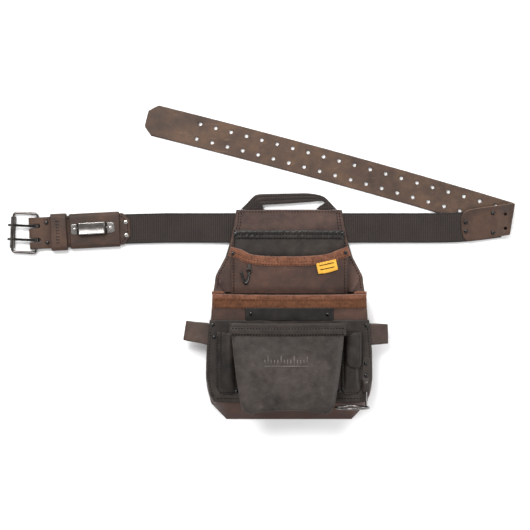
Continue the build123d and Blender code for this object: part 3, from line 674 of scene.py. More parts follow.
def leather_tube(name, x, half, height, radius, body, stands_for, seed, thick=1.9):
    """A keeper or sleeve: a leather band sewn round into a flattened tube."""
    line = rounded_box(half - thick / 2, thick / 2, height - thick / 2, radius, 0.5)
    v = rimmed(max(6, int((x[1] - x[0]) / 5)), 0.9 / (x[1] - x[0]))
    wander = 0.5 * ripple(line[:, 0], line[:, 1], 45, seed)
    wide = x[0] + (x[1] - x[0]) * v + wander[:, None] * (2 * v - 1)
    y, z = line[:, :1], line[:, 1:]
    z = z + (z > height / 2) * 0.22 * ripple(wide, y, 34, seed + 1)
    sheet(name, end_frame(surface(wide, y, z)), thick, body, *brown(END), stands_for, wrap=True)


def keeper():
    leather_tube("keeper_leather", (-121, -96), 30.5, 16, 5, "keeper", ("keeper_loop",), 11)
    parts = []
    for k in range(8):
        y = -17.5 + 5.0 * k
        parts.append(sweep(end_frame(walls(rectangle(-112.5, y - 0.9, -107.0, y + 0.9), 15.4, 16.6))))
    merged("keeper_pressed_marks", parts, "keeper", [DEEP_STAMP], "leather_brown")


def clip_carrier():
    leather_tube("clip_sleeve_leather", (-89.7, -9.3), 29, 13, 4.5, "clip_carrier", ("clip_sleeve",), 15)
    x = -88 + 71 * np.linspace(0, 1, 90)
    raised = ease(-78.8, -73.8, x) * (1 - ease(-33.2, -28.2, x))
    ends = np.minimum(ease(-88.4, -84.5, x), 1 - ease(-20.5, -16.6, x))
    half = (8.4 + 0.6 * raised) * (0.8 + 0.2 * ends)
    v = rimmed(13, 0.04) * 2 - 1
    raised = raised[:, None]
    p = surface(x[:, None], 3 + half[:, None] * v, 14.0 + 6.4 * raised + 1.3 * raised * v ** 2)
    piece = sheet("tape_clip_steel", end_frame(p), 1.4, "clip_carrier", [CLIP_STEEL, STEEL, DARK_STEEL],
                  "steel_dark", ("tape_clip",))
    # The ramps between the feet and the bridge take the darker steel: painted shade on the ramps.
    for face in piece.data.polygons:
        if face.material_index == 0 and 0.0148 < face.center.z - ORIGIN[2] < 0.0207:
            face.material_index = 2
    places = [tuple(end_frame((x, 3, 14.6))) for x in (-82.2, -23.5)]
    rivets("clip_bright_rivets", places, "clip_carrier", STEEL, "steel_bright", ("clip_rivets",), 2.7, 1.4)


FOLD = np.array([358.9, 14.4])


def heading(degrees):
    return np.array([math.cos(math.radians(degrees)), math.sin(math.radians(degrees))])


def tail_curve():
    """Points, 1 mm or so apart, along the tail's centre line from the fold to the tip."""
    a, b, c = np.array([358.9, 18.0]), np.array([71.8, 100.8]), np.array([-234.4, 180.5])
    t = np.linspace(0, 1, 601)[:, None]
    middle = 2 * b - (a + c) / 2
    return a * (1 - t) ** 2 + 2 * middle * t * (1 - t) + c * t ** 2


TAIL_LINE = tail_curve()
TAIL_RUN = run_along(TAIL_LINE)
TAIL_LENGTH = TAIL_RUN[-1]
HOLE_FIRST, HOLE_PITCH, HOLE_GROWTH = 88, 25.95, 0.03    # from the tip; the gaps widen towards the fold
HOLE_ROW, HOLE_RADIUS = 12.4, 3.05
STRAP_HALF = 25.2


def on_tail(run, side=0.0):
    """The place run mm from the fold and side mm above the tail's centre line, and the way it heads."""
    place, ahead, before = (read_off(run + step, TAIL_RUN, TAIL_LINE) for step in (0, 2, -2))
    way = (ahead - before) / np.linalg.norm(ahead - before)
    return place + np.outer(side, [way[1], -way[0]]), way


def tail():
    """The leather strap: riveted patch, soft fold and punched tail, in one grid."""
    v = rimmed(17, 0.016) * 2 - 1
    out = heading(-8)
    layers = []
    for share in rimmed(30, 0.008):
        run = -76 * (1 - share)
        gap = run + 76
        corner = np.where(v > 0, 19.0, 10.0)
        inset = corner - np.sqrt(np.maximum(0, corner ** 2 - np.maximum(0, corner - gap) ** 2))
        q = (STRAP_HALF - inset) * v * np.where(v > 0, 1 - 0.05 * float(ease(0.3, 1, share)), 1)
        lean = q * 0.331 * ease(0.2, 1.0, share)
        plan = FOLD + np.outer(run + lean, heading(9.3)) + np.outer(q, heading(99.3))
        rise = 8.4 + 6.6 * ease(-17, 1.5, run)
        layers.append(np.column_stack([plan, rise + 0.15 * ripple(plan[:, 0], plan[:, 1], 50, 8)]))
    first, way = on_tail(0.0, STRAP_HALF * v)
    first = first + np.outer(STRAP_HALF * v * 0.125, way)
    last = layers[-1][:, :2]
    for angle in np.linspace(90, -90, 17)[1:-1]:
        share = (90 - angle) / 180
        plan = last * (1 - share) + first * share + out * 7.4 * math.cos(math.radians(angle))
        layers.append(np.column_stack([plan, np.full(len(v), 8.2 + 6.8 * math.sin(math.radians(angle)))]))
    layers.append(np.column_stack([first, np.full(len(v), 1.42)]))
    for run in np.concatenate([np.linspace(4, TAIL_LENGTH - 18, 150),
                               TAIL_LENGTH - np.array([15, 14, 12, 9, 6, 3, 1.0, 0])]):
        gap = TAIL_LENGTH - run
        q = (STRAP_HALF if gap > 14 else 12.7 + 12.5 * (gap / 14) ** 0.9) * v
        plan, way = on_tail(run, q)
        plan = plan + np.outer(q * 0.125 * (1 - float(ease(0, 75, run))), way)
        wave = 0.5 * (1 + ripple(plan[:, 0], plan[:, 1], 210, 4)) * float(ease(25, 120, run))
        layers.append(np.column_stack([plan, 1.42 + 0.5 * wave]))
    piece = sheet("tail_strap_leather", np.array(layers), 2.7, "belt", [TAIL, EDGE, TAIL, END, RAW_EDGE],
                  "leather_brown", ("tail_strap",))
    for face in piece.data.polygons:
        if face.center.z - ORIGIN[2] > 0.0075:
            face.material_index = 4 if face.material_index == 1 else 3
    holes = []
    for k in range(20):
        for side in (-HOLE_ROW, HOLE_ROW):
            run = TAIL_LENGTH - HOLE_FIRST - HOLE_PITCH * k - HOLE_GROWTH * k * k
            (place,), way = on_tail(run, [side])
            holes.append(drum(place[0], place[1], -3, 6, HOLE_RADIUS, 24))
    holes += [drum(354.8, y, 9.5, 24, 2.6, 24) for y in (22.4, -1.0)]
    cut(piece, holes)


def belt_fixings():
    lacquered = [tuple(end_frame((-128.4, y, 9.2))) for y in (16.4, -16.4)]
    lacquered += [(290.4, 9.2, 9.8), (290.4, -5.8, 9.8), (335.3, 24.3, 9.9), (335.3, -8.3, 9.9)]
    rivets("belt_black_rivets", lacquered, "belt", BLACK, "rivet_black", ("belt_rivets",), 3.1, 2.3)
    bright = [tuple(end_frame((1.8, y, 9.2))) for y in (10.6, -10.6)]
    rivets("belt_bright_rivets", bright, "belt", STEEL, "steel_bright", ("end_rivets",), 3.4, 1.5)


# ---------------------------------------------------------------- pouch

BACK = [(29.5, 87), (-2, 93), (-26, 98), (-48, 105), (-65, 114), (-79, 121.5), (-88, 122), (-106, 125),
        (-153, 128), (-203, 136), (-249, 137), (-288, 129), (-315, 103)]
BIG_BACK = [(125, -109), (128, -153), (136, -203), (137, -249), (129, -288), (103, -314)]
BIG_FRONT = [(124, -109), (127, -153), (133, -203), (134, -245), (126, -284), (100, -285)]
NAIL_BACK = [(84, -156), (73, -264), (61, -283)]
NAIL_FRONT = [(91.2, -156), (85.5, -215), (81.5, -245), (78, -268), (74.5, -286), (70, -296), (60, -300.4)]


def width_at(table, y):
    """Half width from (y, half width) pairs, top down."""
    table = np.asarray(table, float)[::-1]
    return np.interp(y, table[:, 0], table[:, 1])


def half_widths(outline, y):
    """Half width of a rounded right-hand outline of (x, y) pairs."""
    line = rounded(outline, 3)
    return width_at([(py, px) for px, py in line], y)


def panel(name, ys, half, height, thick, mats, slot, stands_for, centre=0.0, columns=31, dip=None):
    """A leather panel given by its half width and its height: both are functions of place."""
    ys = np.asarray(ys, float)
    v = rimmed(columns, 0.008) * 2 - 1
    widths = half(ys)
    x = centre + widths[:, None] * v
    y = np.repeat(ys[:, None], len(v), 1)
    if dip is not None:
        y = y + dip(v[None, :] + 0 * y, y)
    mid = np.stack([x, y, height(x, y, v[None, :] + 0 * y)], -1)
    sheet(name, mid, thick, "pouch", mats, slot, stands_for)


def rows(top, bottom, n, rim=1.0):
    return top + (bottom - top) * rimmed(n, rim / abs(top - bottom))


def gusset(name, back, front, low_z, high_z, centre, bulge, thick, mats, slot, stands_for, seed, dip=0.0):
    """A pocket's side wall, swept round both sides and the bottom."""
    def whole(half):
        line = rounded(half, 3)
        left = np.column_stack([-line[:, 0], line[:, 1]])
        line = along(np.concatenate([left, line[::-1]]), 1.0)
        return read_off(np.linspace(0, 1, 170), np.linspace(0, 1, len(line)), line)

    a, b = whole(back), whole(front)
    tangent = np.gradient((a + b) / 2, axis=0)
    normal = np.stack([tangent[:, 1], -tangent[:, 0]], 1)
    normal /= np.linalg.norm(normal, axis=1, keepdims=True)
    w = rimmed(12, 0.03)
    mid = np.zeros((len(a), len(w), 3))
    for j, share in enumerate(w):
        line = a * (1 - share) + b * share
        push = bulge * math.sin(math.pi * share) * (0.7 + 0.5 * ripple(a[:, 0], a[:, 1], 80, seed))
        line = line + normal * (push[:, None] - thick / 2)
        arch = (1 - np.clip(np.abs(line[:, 0]) / 60, 0, 1) ** 2.6) * ease(-255, -290, line[:, 1])
        line = line + np.outer(dip * share * arch, (0, 1))
        mid[:, j] = surface(centre + line[:, 0], line[:, 1], low_z + (high_z - low_z) * share)
    sheet(name, mid, thick, "pouch", mats, slot, stands_for)


def binding(name, line, lift, depth, inside, mats, slot, stands_for, seed, bead=2.3, thick=1.7,
            end_drop=0.0, kind="dark"):
    """A strip folded over a pocket's mouth, with a rolled bead along the top and two rows of stitches."""
    line = np.asarray(line, float)
    tangent = np.gradient(line, axis=0)
    tangent /= np.linalg.norm(tangent, axis=1, keepdims=True)
    up = np.stack([-tangent[:, 1], tangent[:, 0]], 1)
    up *= np.sign(up[:, 1:])
    profile = [(-inside, -2.4 - thick), (-inside * 0.5, -2.5 - thick), (-1.0, -2.5 - thick)]
    for angle in np.linspace(-110, 65, 9):
        radius = 2.2 + thick * 0.75
        profile.append((-2.0 + radius * math.cos(math.radians(angle)),
                        -0.9 + radius * math.sin(math.radians(angle)) * bead / 2.0))
    profile += [(-5.4, thick * 0.6), (-6.6, thick * 0.8), (-depth * 0.55, thick * 1.25),
                (-depth + 2.6, thick),
                (-depth + 0.7, thick * 0.92), (-depth, thick * 0.45), (-depth, -0.3), (-depth * 0.5, -0.4),
                (-2.0, -0.5), (-1.6, -1.6), (-2.2, -2.3), (-inside * 0.6, -2.3), (-inside, -2.2)]
    profile = np.array(profile)
    gathered = (profile[:, 1] > thick * 0.9) * (profile[:, 0] < -4)
    rings = []
    for k, (place, upward) in enumerate(zip(line, up)):
        wobble = (0.3 * ripple(place[0], 3.0, 30, seed)
                  + 0.22 * ripple(place[0], profile[:, 0], 8, seed + 1))
        fall = end_drop * abs(2 * k / (len(line) - 1) - 1) ** 30
        plan = place + np.outer(profile[:, 0] + wobble * (profile[:, 0] > -5), upward)
        pucker = 0.25 * math.cos(place[0] * 2 * math.pi / 4.3) * gathered
        high = lift(place[0]) + profile[:, 1] * (1 + 0.16 * wobble) + 0.6 * pucker - fall
        rings.append(np.column_stack([plan, high]))
    verts, faces = sweep(rings)
    m = len(profile)
    # The front leg's faces, below the bead, take the second material; on the big pocket that is a darker
    # copy of the suede, painted shade.
    mats_of = [1 if 12 <= (face[0] % m) <= 18 else 0 for face in faces[:-2]] + [0, 0]
    build(name, verts, faces, "pouch", mats, slot, mats_of, stands_for)
    for gap in (7.6, depth - 2.4):
        spots = line - up * gap
        level = thick * (1.0 if gap < 8 else 1.05)
        stitch(np.column_stack([spots, [lift(x) + level for x in spots[:, 0]]])[3:-3], kind=kind, **FINE)


def body_panels():
    """The back, the leather over the belt with its wings, and the big pocket."""
    def back_height(x, y, v):
        return 1.25 + 0 * x

    panel("pouch_back", rows(29.3, -314.5, 60), lambda y: width_at(BACK, y) - 0.6, back_height, 2.3,
          *brown(BROWN), ("back_panel",))

    def tunnel_height(x, y, v):
        sink = ease(86, 104, np.abs(x)) * ease(-24, -48, y)
        step = ease(-66, -82, y)
        dart = 2.6 * np.exp(-((np.abs(x) - 118.8 - 0.574 * (y + 79)) / 2.2) ** 2) * ease(-70, -80, y)
        edge = ease(0.93, 1.0, np.abs(v)) * 0.8
        beyond = ease(0, 3, np.abs(x) - 118.8 - 0.574 * (y + 79)) * ease(-70, -80, y)
        dart = dart - 1.1 * beyond
        low = 3.9 + 1.3 * (1 - ease(88, 118, np.abs(x)))
        return (8.8 - 4.3 * sink) * (1 - step) + low * step + dart - edge + 0.28 * ripple(x, y, 60, 21)

    panel("tunnel_and_wings", rows(29.3, -106, 64), lambda y: width_at(BACK, y) - 1.2, tunnel_height, 2.3,
          *brown(BROWN), ("tunnel_panel", "top_welt"), columns=131)
    for side in (-1, 1):
        frame_line = [(side * 82.5, 26), (side * 84.5, 6), (side * 86.5, -3)]
        stitch([(x, y, 10.05) for x, y in frame_line], "brown")
        stitch([(x - side * 4.5, y, 10.1) for x, y in frame_line], "brown")
        wing = [(side * (float(width_at(BACK, y)) - 5.2), y) for y in np.arange(-22, -103, -3.0)]
        heights = [float(tunnel_height(np.array(x), np.array(y), np.array(0.9))) + 1.2 for x, y in wing]
        stitch([(x, y, z) for (x, y), z in zip(wing, heights)], "brown")
    stitch([(x, 26.4, 10.0) for x in (-82, -40, 0, 40, 82)], "brown")

    def front_height(x, y, v):
        rim = 1.2 * ease(0.95, 1.0, np.abs(v))
        return 41.2 + 0.45 * ripple(x, y, 90, 31) - rim - 1.0 * ease(-276, -285, y)

    panel("big_pocket_front_skin", rows(-109.5, -284.6, 40), lambda y: half_widths(BIG_FRONT, y),
          front_height, 2.3, *brown(POCKET_BROWN), ("big_pocket_front",))
    # The side wall takes the darker copy of the pocket leather: painted shade.
    gusset("big_pocket_side", BIG_BACK, BIG_FRONT, 2.6, 40.6, 0.0, 1.6, 2.2, *brown(SHADED_SIDE_LEATHER),
           ("big_pocket_gusset",), 33)
    stitch([(x, -281.2, 41.9) for x in (-100, 0, 100)], "brown")


def top_pocket():
    def height(x, y, v):
        side = (1 - np.abs(v) ** 26) ** 0.2
        return 10.8 + 6.0 * side * (1 - 0.25 * ease(-40, -60, y)) + 0.3 * ripple(x, y, 50, 41)

    panel("top_pocket_skin", rows(-7.5, -60, 18), lambda y: 90.6 + 0 * y, height, 1.9,
          *black(CHARCOAL), ("top_pocket",))
    profile = np.array([(-1.2, -1.6), (0.4, -1.0), (1.3, 0.2), (1.2, 1.4), (0.1, 2.2), (-1.6, 2.5),
                        (-3.4, 2.2),
                        (-4.6, 1.4), (-5.6, 1.15), (-8.5, 1.35), (-11.0, 1.1), (-12.9, 0.75), (-13.5, 0.1),
                        (-13.4, -0.5), (-8.0, -0.4), (-4.0, -0.5), (-2.0, -0.9)])
    rings = []
    for x in along([(-90.6, 0), (90.6, 0)], 1.2)[:, 0]:
        wobble = 0.3 * ripple(x, 0.0, 22, 43) + 0.55 * ripple(x, profile[:, 0], 7.5, 44)
        fall = 3.4 * abs(x / 90.6) ** 40
        swell = 17.7 + profile[:, 1] * (1 + 0.3 * wobble) + 0.3 * wobble * (profile[:, 1] > 0.5) - fall
        rings.append(np.column_stack([np.full(len(profile), x), -5.2 + profile[:, 0] + wobble, swell]))
    verts, faces = sweep(rings)
    build("top_pocket_rolled_hem", verts, faces, "pouch", [HEM], "leather_charcoal",
          stands_for=("top_pocket_hem",))
    for y, z in ((-10.6, 18.85), (-17.0, 18.65)):
        stitch([(x, y, z) for x in (-84, 0, 84)], **FINE)


MOUTH = along(smooth_line([(-96, -32), (-80, -36.5), (-62, -45), (-30, -48), (0, -48.3), (30, -47.6),
                           (62, -44.5), (80, -37.6), (96, -31.5)], 12), 1.2)


def mid_pocket():
    def mouth_y(x):
        return np.interp(x, MOUTH[:, 0], MOUTH[:, 1])

    def half(y):
        return 95.4 + 0 * y

    def dip(v, y):
        share = (y + 108) / 60.0
        return share * (mouth_y(v * 95.4) - 3.5 + 48)

    def height(x, y, v):
        side = (1 - np.abs(v) ** 30) ** 0.2
        return 11.2 + 14.6 * side + 0.5 * ripple(x, y, 70, 51) - 1.4 * ease(-96, -108, y) * side

    panel("mid_pocket_skin", rows(-48, -108, 24), half, height, 2.1, *brown(POCKET_BROWN), ("mid_pocket",),
          dip=dip)
    for side in (-1, 1):
        stitch([(side * 90.6, y, 26.4) for y in (-50, -78, -106)], "brown")
    binding("mid_pocket_suede_binding", MOUTH, lambda x: 27.0 - 1.4 * (abs(x) / 96) ** 20, 14.8, 8.0,
            [SUEDE, SUEDE], "suede_tan", ("mid_pocket_binding",), 53, bead=2.1, end_drop=2.5, kind="tan")
    x = np.linspace(-1, 1, 15)
    y = np.linspace(0, 1, 9)
    grid = np.zeros((15, 9, 3))
    turn = math.radians(12.5)
    for i, u in enumerate(x):
        for j, w in enumerate(y):
            along_x, down = 16.4 * u, 8.2 - 17.0 * w - 1.5 * w * (1 - u * u)
            grid[i, j] = (61.6 + along_x * math.cos(turn) - down * math.sin(turn),
                          -63.2 + along_x * math.sin(turn) + down * math.cos(turn),
                          29.1 - 0.5 * w + 0.5 * w * u * u)
    sheet("plain_yellow_tag", grid, 1.0, "pouch", [YELLOW, TAG_EDGE, YELLOW], "label_yellow", ("label",))
    section = ((0, -0.6, 0.2), (0, 0.6, 0.2), (0, 0.6, 1.15), (0, -0.6, 1.15))
    lines = [sweep([spot + section for spot in grid[2:13, w]]) for w in (2, 5)]
    merged("tag_woven_lines", lines, "pouch", [DARK_THREAD], "label_yellow")


def big_binding():
    line = np.column_stack([np.linspace(-125.3, 125.3, 221), np.full(221, -110.0)])
    line[:, 1] -= 1.6 * np.cos(line[:, 0] / 125.3 * 1.57) - 0.4
    # The second material, a darker copy of the suede, is painted shade on the front leg.
    binding("big_pocket_suede_binding", line, lambda x: 42.4, 21.5, 9.5, [SUEDE, SUEDE_SHADED], "suede_tan",
            ("big_pocket_binding",), 61, bead=2.6, thick=1.9, end_drop=3.0, kind="tan")
    for side in (-1, 1):
        x = side * np.linspace(106, 125.5, 12)
        w = rimmed(6, 0.05)
        mid = surface(x[:, None], -108.6 + 4.6 * w - 1.0 * (np.abs(x)[:, None] < 108) * w,
                      38.2 + 1.2 * np.sin(w * 3.14))
        # The returns' edges take the darker copy of the suede: painted shade.
        sheet("binding_return_left" if side < 0 else "binding_return_right", mid, 1.8, "pouch",
              [SUEDE, SUEDE_SHADED, SUEDE], "suede_tan")


PANEL_EDGE = [(-151, 129), (-200, 133.5), (-244, 134), (-272, 128.5), (-283, 122)]


def tools_panel():
    def height(x, y, v):
        return 43.6 + 0.4 * ripple(x, y, 75, 71) * (1 - np.abs(v) ** 8) - 0.8 * ease(0.96, 1, np.abs(v))

    panel("tool_panel_skin", rows(-150.6, -283, 40), lambda y: width_at(PANEL_EDGE, y), height, 2.1,
          *black(CHARCOAL), ("tool_panel",))
    for side in (-1, 1):
        stitch([(side * (float(width_at(PANEL_EDGE, y)) - 3.4), y, 44.3)
                for y in np.arange(-163, -278, -4.0)])
    stitch([(x, -277.6, 44.6) for x in (-118, 0, 118)])
    panel("nail_pocket_reinforcement", rows(-130.5, -152, 12), lambda y: 71 + 0 * y,
          lambda x, y, v: 43.7 + 0.25 * ripple(x, y, 30, 73), 1.9, *black(PATCH), ("nail_patch",))


def tool_sleeve(name, x0, x1, node, seed, lean, knots):
    """A bulged tool pocket: flat stitched seams left and right and below, and a tube in between."""
    centre, half = (x0 + x1) / 2, (x1 - x0) / 2
    ys = rows(-171, -270, 40)
    v = rimmed(37, 0.02) * 2 - 1
    x = centre + half * v
    smooth = rounded(knots, 2)
    profile = np.interp(v, smooth[:, 0], smooth[:, 1])
    grid = []
    for y in ys:
        corner = 10.0 * float(ease(-256, -270, y)) ** 2
        tall = 8.8 * (1 - 0.3 * float(ease(-180, -262, y))) * math.sqrt(1 - float(ease(-240, -266, y)))
        grid.append(surface(x - corner * 0.6 * np.sign(v) * np.abs(v) ** 3, y + 1.5 * v * lean,
                            45.8 + tall * profile + 0.3 * ripple(x, y, 26, seed)))
    sheet(name, np.array(grid), 1.9, "pouch", *black(TOOL), (node,))
    for side in (-1, 1):
        line = [(centre + side * (half - 1.9), y, 46.75) for y in np.arange(-176, -262, -4.0)]
        stitch(line, **FINE)
    stitch([(centre - half + 5, -267.2, 46.8), (centre + half - 5, -267.2, 46.8)], **FINE)


def knife_tongue():
    """The sheath in the knife pocket: a curved flap with a round lower edge."""
    ys = rows(-170, -227, 22, 0.9)
    v = rimmed(15, 0.04) * 2 - 1
    grid = []
    for y in ys:
        up = y + 227
        left = 12.0 * (1 - math.sqrt(max(0.0, 1 - max(0.0, (11 - up) / 11) ** 2)))
        right = 7.0 * (1 - math.sqrt(max(0.0, 1 - max(0.0, (6 - up) / 6) ** 2)))
        x = 104.0 - 11.8 + left + (23.6 - left - right) * (v + 1) / 2
        slant = 5.5 * (1 - (v + 1) / 2) * float(ease(-200, -170, y))
        grid.append(surface(x, y - slant,
                            52.6 + 3.4 * (1 - ((x - 106.5) / 15) ** 2) + 0.2 * ripple(x, y, 24, 83)))
    sheet("knife_pocket_tongue", np.array(grid), 1.8, "pouch", *black(TOOL))
    stitch([(113.2, y, 55.6) for y in np.arange(-176, -218, -4.0)], length=2.5, pitch=4.3)


def nail_pocket():
    centre = -3.0

    def height(x, y, v):
        down = ease(-156, -235, y) * (1 - ease(-262, -302, y))
        swell = 2.6 * (1 - np.abs(v) ** 2.2) * down
        hollow = 1.1 * np.exp(-((x + 34) / 16) ** 2 - ((y + 258) / 20) ** 2)
        hollow = hollow + 0.9 * np.exp(-((x - 30) / 20) ** 2 - ((y + 210) / 30) ** 2)
        soft = 3.0 * ease(0.93, 1.0, np.abs(v)) + 2.4 * ease(-290, -301, y)
        return 78.0 + swell - hollow - soft + 0.5 * ripple(x, y, 65, 91)

    def dip(v, y):
        return 6.0 * (1 - np.abs(v) ** 2.6) * ease(-262, -300, y)

    def half(y):
        return half_widths(NAIL_FRONT, y)

    # The front's edge faces take the lighter edge leather: a painted highlight.
    panel("nail_pocket_front_skin", rows(-156.5, -299.6, 44), half, height, 2.4,
          [NAIL, NAIL_EDGE_HIGHLIGHT, DARK_FLESH], "leather_dark", ("nail_pocket_front",), centre, 37, dip)
    gusset("nail_pocket_side", NAIL_BACK, NAIL_FRONT, 44.9, 75.6, centre, 1.5, 2.2,
           *black(NAIL, "leather_dark"), ("nail_pocket_gusset",), 93, 7.5)
    line = np.column_stack([np.linspace(centre - 93.3, centre + 93.3, 171), np.full(171, -154.6)])
    line[:, 1] -= 1.0 * np.cos((line[:, 0] - centre) / 93.3 * 1.57)
    binding("nail_pocket_binding_skin", line, lambda x: 79.2, 19.6, 9.0, [CHARCOAL, CHARCOAL],
            "leather_charcoal", ("nail_pocket_binding",), 95, bead=2.6, thick=1.8, end_drop=3.0)

    def face(x, y):
        return float(height(np.array(x), np.array(y), np.array((x - centre) / 82))) + 1.2

    marks = []
    for k in range(14):
        x = centre - 3.0 - 33.8 + 5.2 * k
        tall = 15.0 if k % 4 == 1 else 9.0
        z = face(x, -214.0)
        marks.append(sweep(walls(rectangle(x - 0.95, -221.5, x + 0.95, -221.5 + tall), z - 0.8, z + 0.25)))
    rings = []
    for x in np.linspace(centre - 38.0, centre + 32.0, 24):
        z = face(x, -222.0)
        rings.append([(x, *corner) for corner in rectangle(-223.9, z - 0.8, -222.2, z + 0.25)])
    marks.append(sweep(rings))
    merged("nail_pocket_pressed_scale", marks, "pouch", [STAMP], "leather_dark")


def side_loop(name, side, tip, tilt, node, seed):
    """A leather loop folded back on itself, sewn into the side seam."""
    path = rounded([(128.5, 37.2), (tip - 14, 31.6), (tip - 3, 30.2), (tip - 1.0, 25.0), (tip - 3, 19.4),
                    (tip - 14, 18.2), (130.5, 8.8)], 3)
    path = along(path, 1.8)
    v = rimmed(9, 0.03) * 2 - 1
    turn = math.radians(tilt)
    grid = []
    for x, z in path:
        half = 16.6 - 1.2 * (x - 128) / (tip - 128)
        px, py = x - 132, half * v + 0.5 * ripple(x, z, 30, seed)
        grid.append(surface(side * (132 + px * math.cos(turn) - py * math.sin(turn)),
                            -174 + px * math.sin(turn) + py * math.cos(turn),
                            z + 0.3 * ripple(v * 16, z, 25, seed + 1)))
    sheet(name, np.array(grid), 2.1, "pouch", [LOOP, EDGE, LOOP], "leather_brown", (node,))


def hammer_strap():
    ys = rows(-210, -266, 26, 0.9)
    v = rimmed(13, 0.05) * 2 - 1
    grid = []
    for y in ys:
        arch = float(ease(-243, -253, y))
        half = 6.3 - 0.4 * arch
        round_end = 1.0 if y < -214 else math.sqrt(max(0.1, 1 - ((y + 214) / 5.0) ** 2))
        x = 124.2 + half * round_end * v
        tunnel = 3.6 + 5.0 * np.sqrt(np.clip(1 - (v * 0.98) ** 2, 0, 1))
        grid.append(surface(x, y, 45.9 + arch * (tunnel - 3.0) * 1.18))
    sheet("hammer_strap_leather", np.array(grid), 1.9, "pouch", *black(CHARCOAL), ("hammer_strap",))


def key_hook():
    tab = np.zeros((9, 7, 3))
    w = np.linspace(-1, 1, 7)
    for i, (y, z) in enumerate([(-59, 28.9), (-63, 28.9), (-66, 30.6), (-68, 31.2), (-69.7, 30.2),
                                (-70.0, 28.9), (-69.0, 27.7), (-66, 27.6), (-61, 27.6)]):
        tab[i] = np.column_stack([-65 + 2.6 * w, np.full(7, float(y)), np.full(7, float(z))])
    sheet("hook_tab_leather", tab, 0.9, "pouch", *black(CHARCOAL), ("hook_tab",))
    y, z = -68.0, 29.2
    eye = smooth_line([(-65.5, -75.5, z), (-69.2, -70.6, z), (-68.8, y, z), (-65, y, z), (-61.2, y, z),
                       (-61.6, -70.6, z), (-65.3, -75.5, z)], 6)
    body = smooth_line([(-65.4, -73.6, z), (-67.0, -82.0, z), (-69.4, -89.0, z), (-71.6, -90.8, z),
                        (-73.6, -88.6, z), (-76.4, -80.0, z), (-78.4, -72.6, z)], 8)
    share = np.linspace(0, 1, len(body))
    radii = 1.55 + 0.75 * np.sin(share * np.pi) ** 0.7
    parts = [sweep(tube(eye, 0.85, 10)), sweep(tube(body, radii, 14))]
    merged("key_hook_black", parts, "hook", [BLACK], "rivet_black", ("key_hook",))


def carry_handle():
    """Webbing with wide flat feet, creased where it turns into a grip folded lengthwise."""
    outer = [(-79.9, 30.4), (-70.1, 39.9), (-60.1, 50.2), (-52.8, 54.8), (-34.7, 56.1), (0, 56.8),
             (29.7, 57.2), (47.9, 54.8), (57.8, 51.3), (62.7, 47.2), (71.0, 38.6), (78.9, 30.4)]
    inner = [(-42.9, 30.4), (-42.6, 34.4), (-43.7, 37.0), (-39.6, 38.0), (-28.1, 38.6), (1.7, 40.3),
             (31.4, 42.4), (46.2, 43.9), (55.3, 43.6), (57.8, 40.6), (49.5, 35.6), (44.6, 30.4)]
    both = smooth_line(np.column_stack([outer, inner]), 24)
    middle = (both[:, :2] + both[:, 2:]) / 2
    run = run_along(middle)
    steps = np.linspace(0, run[-1], 260)
    both = read_off(steps, run, both)
    middle = (both[:, :2] + both[:, 2:]) / 2
    grip = ease(-62, -48, middle[:, 0]) * (1 - ease(50, 61, middle[:, 0]))
    fold = (np.exp(-((middle[:, 0] + 51) / 5) ** 2) + np.exp(-((middle[:, 0] - 59) / 4) ** 2)) \
        * ease(34, 42, middle[:, 1])
    angles = turns(84)
    across = np.sign(np.cos(angles)) * np.abs(np.cos(angles)) ** 0.8
    upward = np.sign(np.sin(angles)) * np.abs(np.sin(angles)) ** 0.55
    creases = 2.6 * np.exp(-((across + 0.25) / 0.14) ** 2) + 2.0 * np.exp(-((across - 0.45) / 0.1) ** 2)
    buckled = 1.2 - 1.6 * np.abs(across + 0.1)
    rings = []
    for k, step in enumerate(steps):
        thin = 1.15 + 2.2 * grip[k]
        rib = 0.2 * math.cos(2 * math.pi * step / HANDLE_RIB)
        high = upward * thin + (upward > 0.3) * (rib - grip[k] * creases + fold[k] * buckled)
        share = (1 + across) / 2
        plan = np.outer(1 - share, both[k, 2:]) + np.outer(share, both[k, :2])
        rings.append(np.column_stack([plan, np.maximum(4.4 + 1.9 * grip[k] + 0.9 * fold[k] + high, 3.6)]))
    verts, faces = sweep(rings)
    build("carry_handle_webbing", verts, faces, "handle", [HANDLE_WEB], "webbing_black",
          stands_for=("carry_handle",))


def pouch_rivets():
    places = [(-88, -10, 19.0), (88, -9, 19.0), (-92, -42, 27.9), (92, -41, 27.9), (-62, -140, 44.6),
              (62, -141, 44.6), (-124.5, -158, 44.7), (125, -159, 44.7), (-122.4, -178, 44.7),
              (-85.6, -266, 44.8), (80.6, -266, 44.8), (124.2, -220.6, 46.8), (124.2, -240, 46.8)]
    rivets("pouch_black_rivets", places, "pouch", BLACK, "rivet_black", ("pouch_rivets",), 3.0, 2.0)


belt_webbing()
buckle_end()
keeper()
clip_carrier()
tail()
belt_fixings()
body_panels()
top_pocket()
mid_pocket()
big_binding()
tools_panel()
tool_sleeve("left_tool_pocket_skin", -118, -86, "left_tool_pocket", 81, -1,
            [(-1, 0), (-0.72, 0), (-0.64, -0.05), (-0.54, 0.02), (-0.42, 0.6), (-0.25, 0.5), (-0.12, 0.62),
             (0.15, 1.0), (0.5, 1.0), (0.78, 0.55), (0.86, 0.0), (1, 0)])
tool_sleeve("right_knife_pocket_skin", 84.5, 117, "right_tool_pocket", 82, 1,
            [(-1, 0), (-0.8, 0), (-0.7, 0.05), (-0.58, 0.45), (-0.3, 0.5), (0, 0.7), (0.4, 0.8),
             (0.66, 0.5), (0.8, 0.0), (1, 0)])
knife_tongue()
nail_pocket()
side_loop("left_side_loop", -1, 172, 9, "left_hammer_loop", 101)
side_loop("right_side_loop", 1, 162, 1, "right_hammer_loop", 103)
hammer_strap()
key_hook()
carry_handle()
pouch_rivets()
for (body, kind), parts in STITCHES.items():
    merged("stitching_" + body + "_" + kind, parts, body, [THREADS[kind]], THREAD_SLOTS[kind])

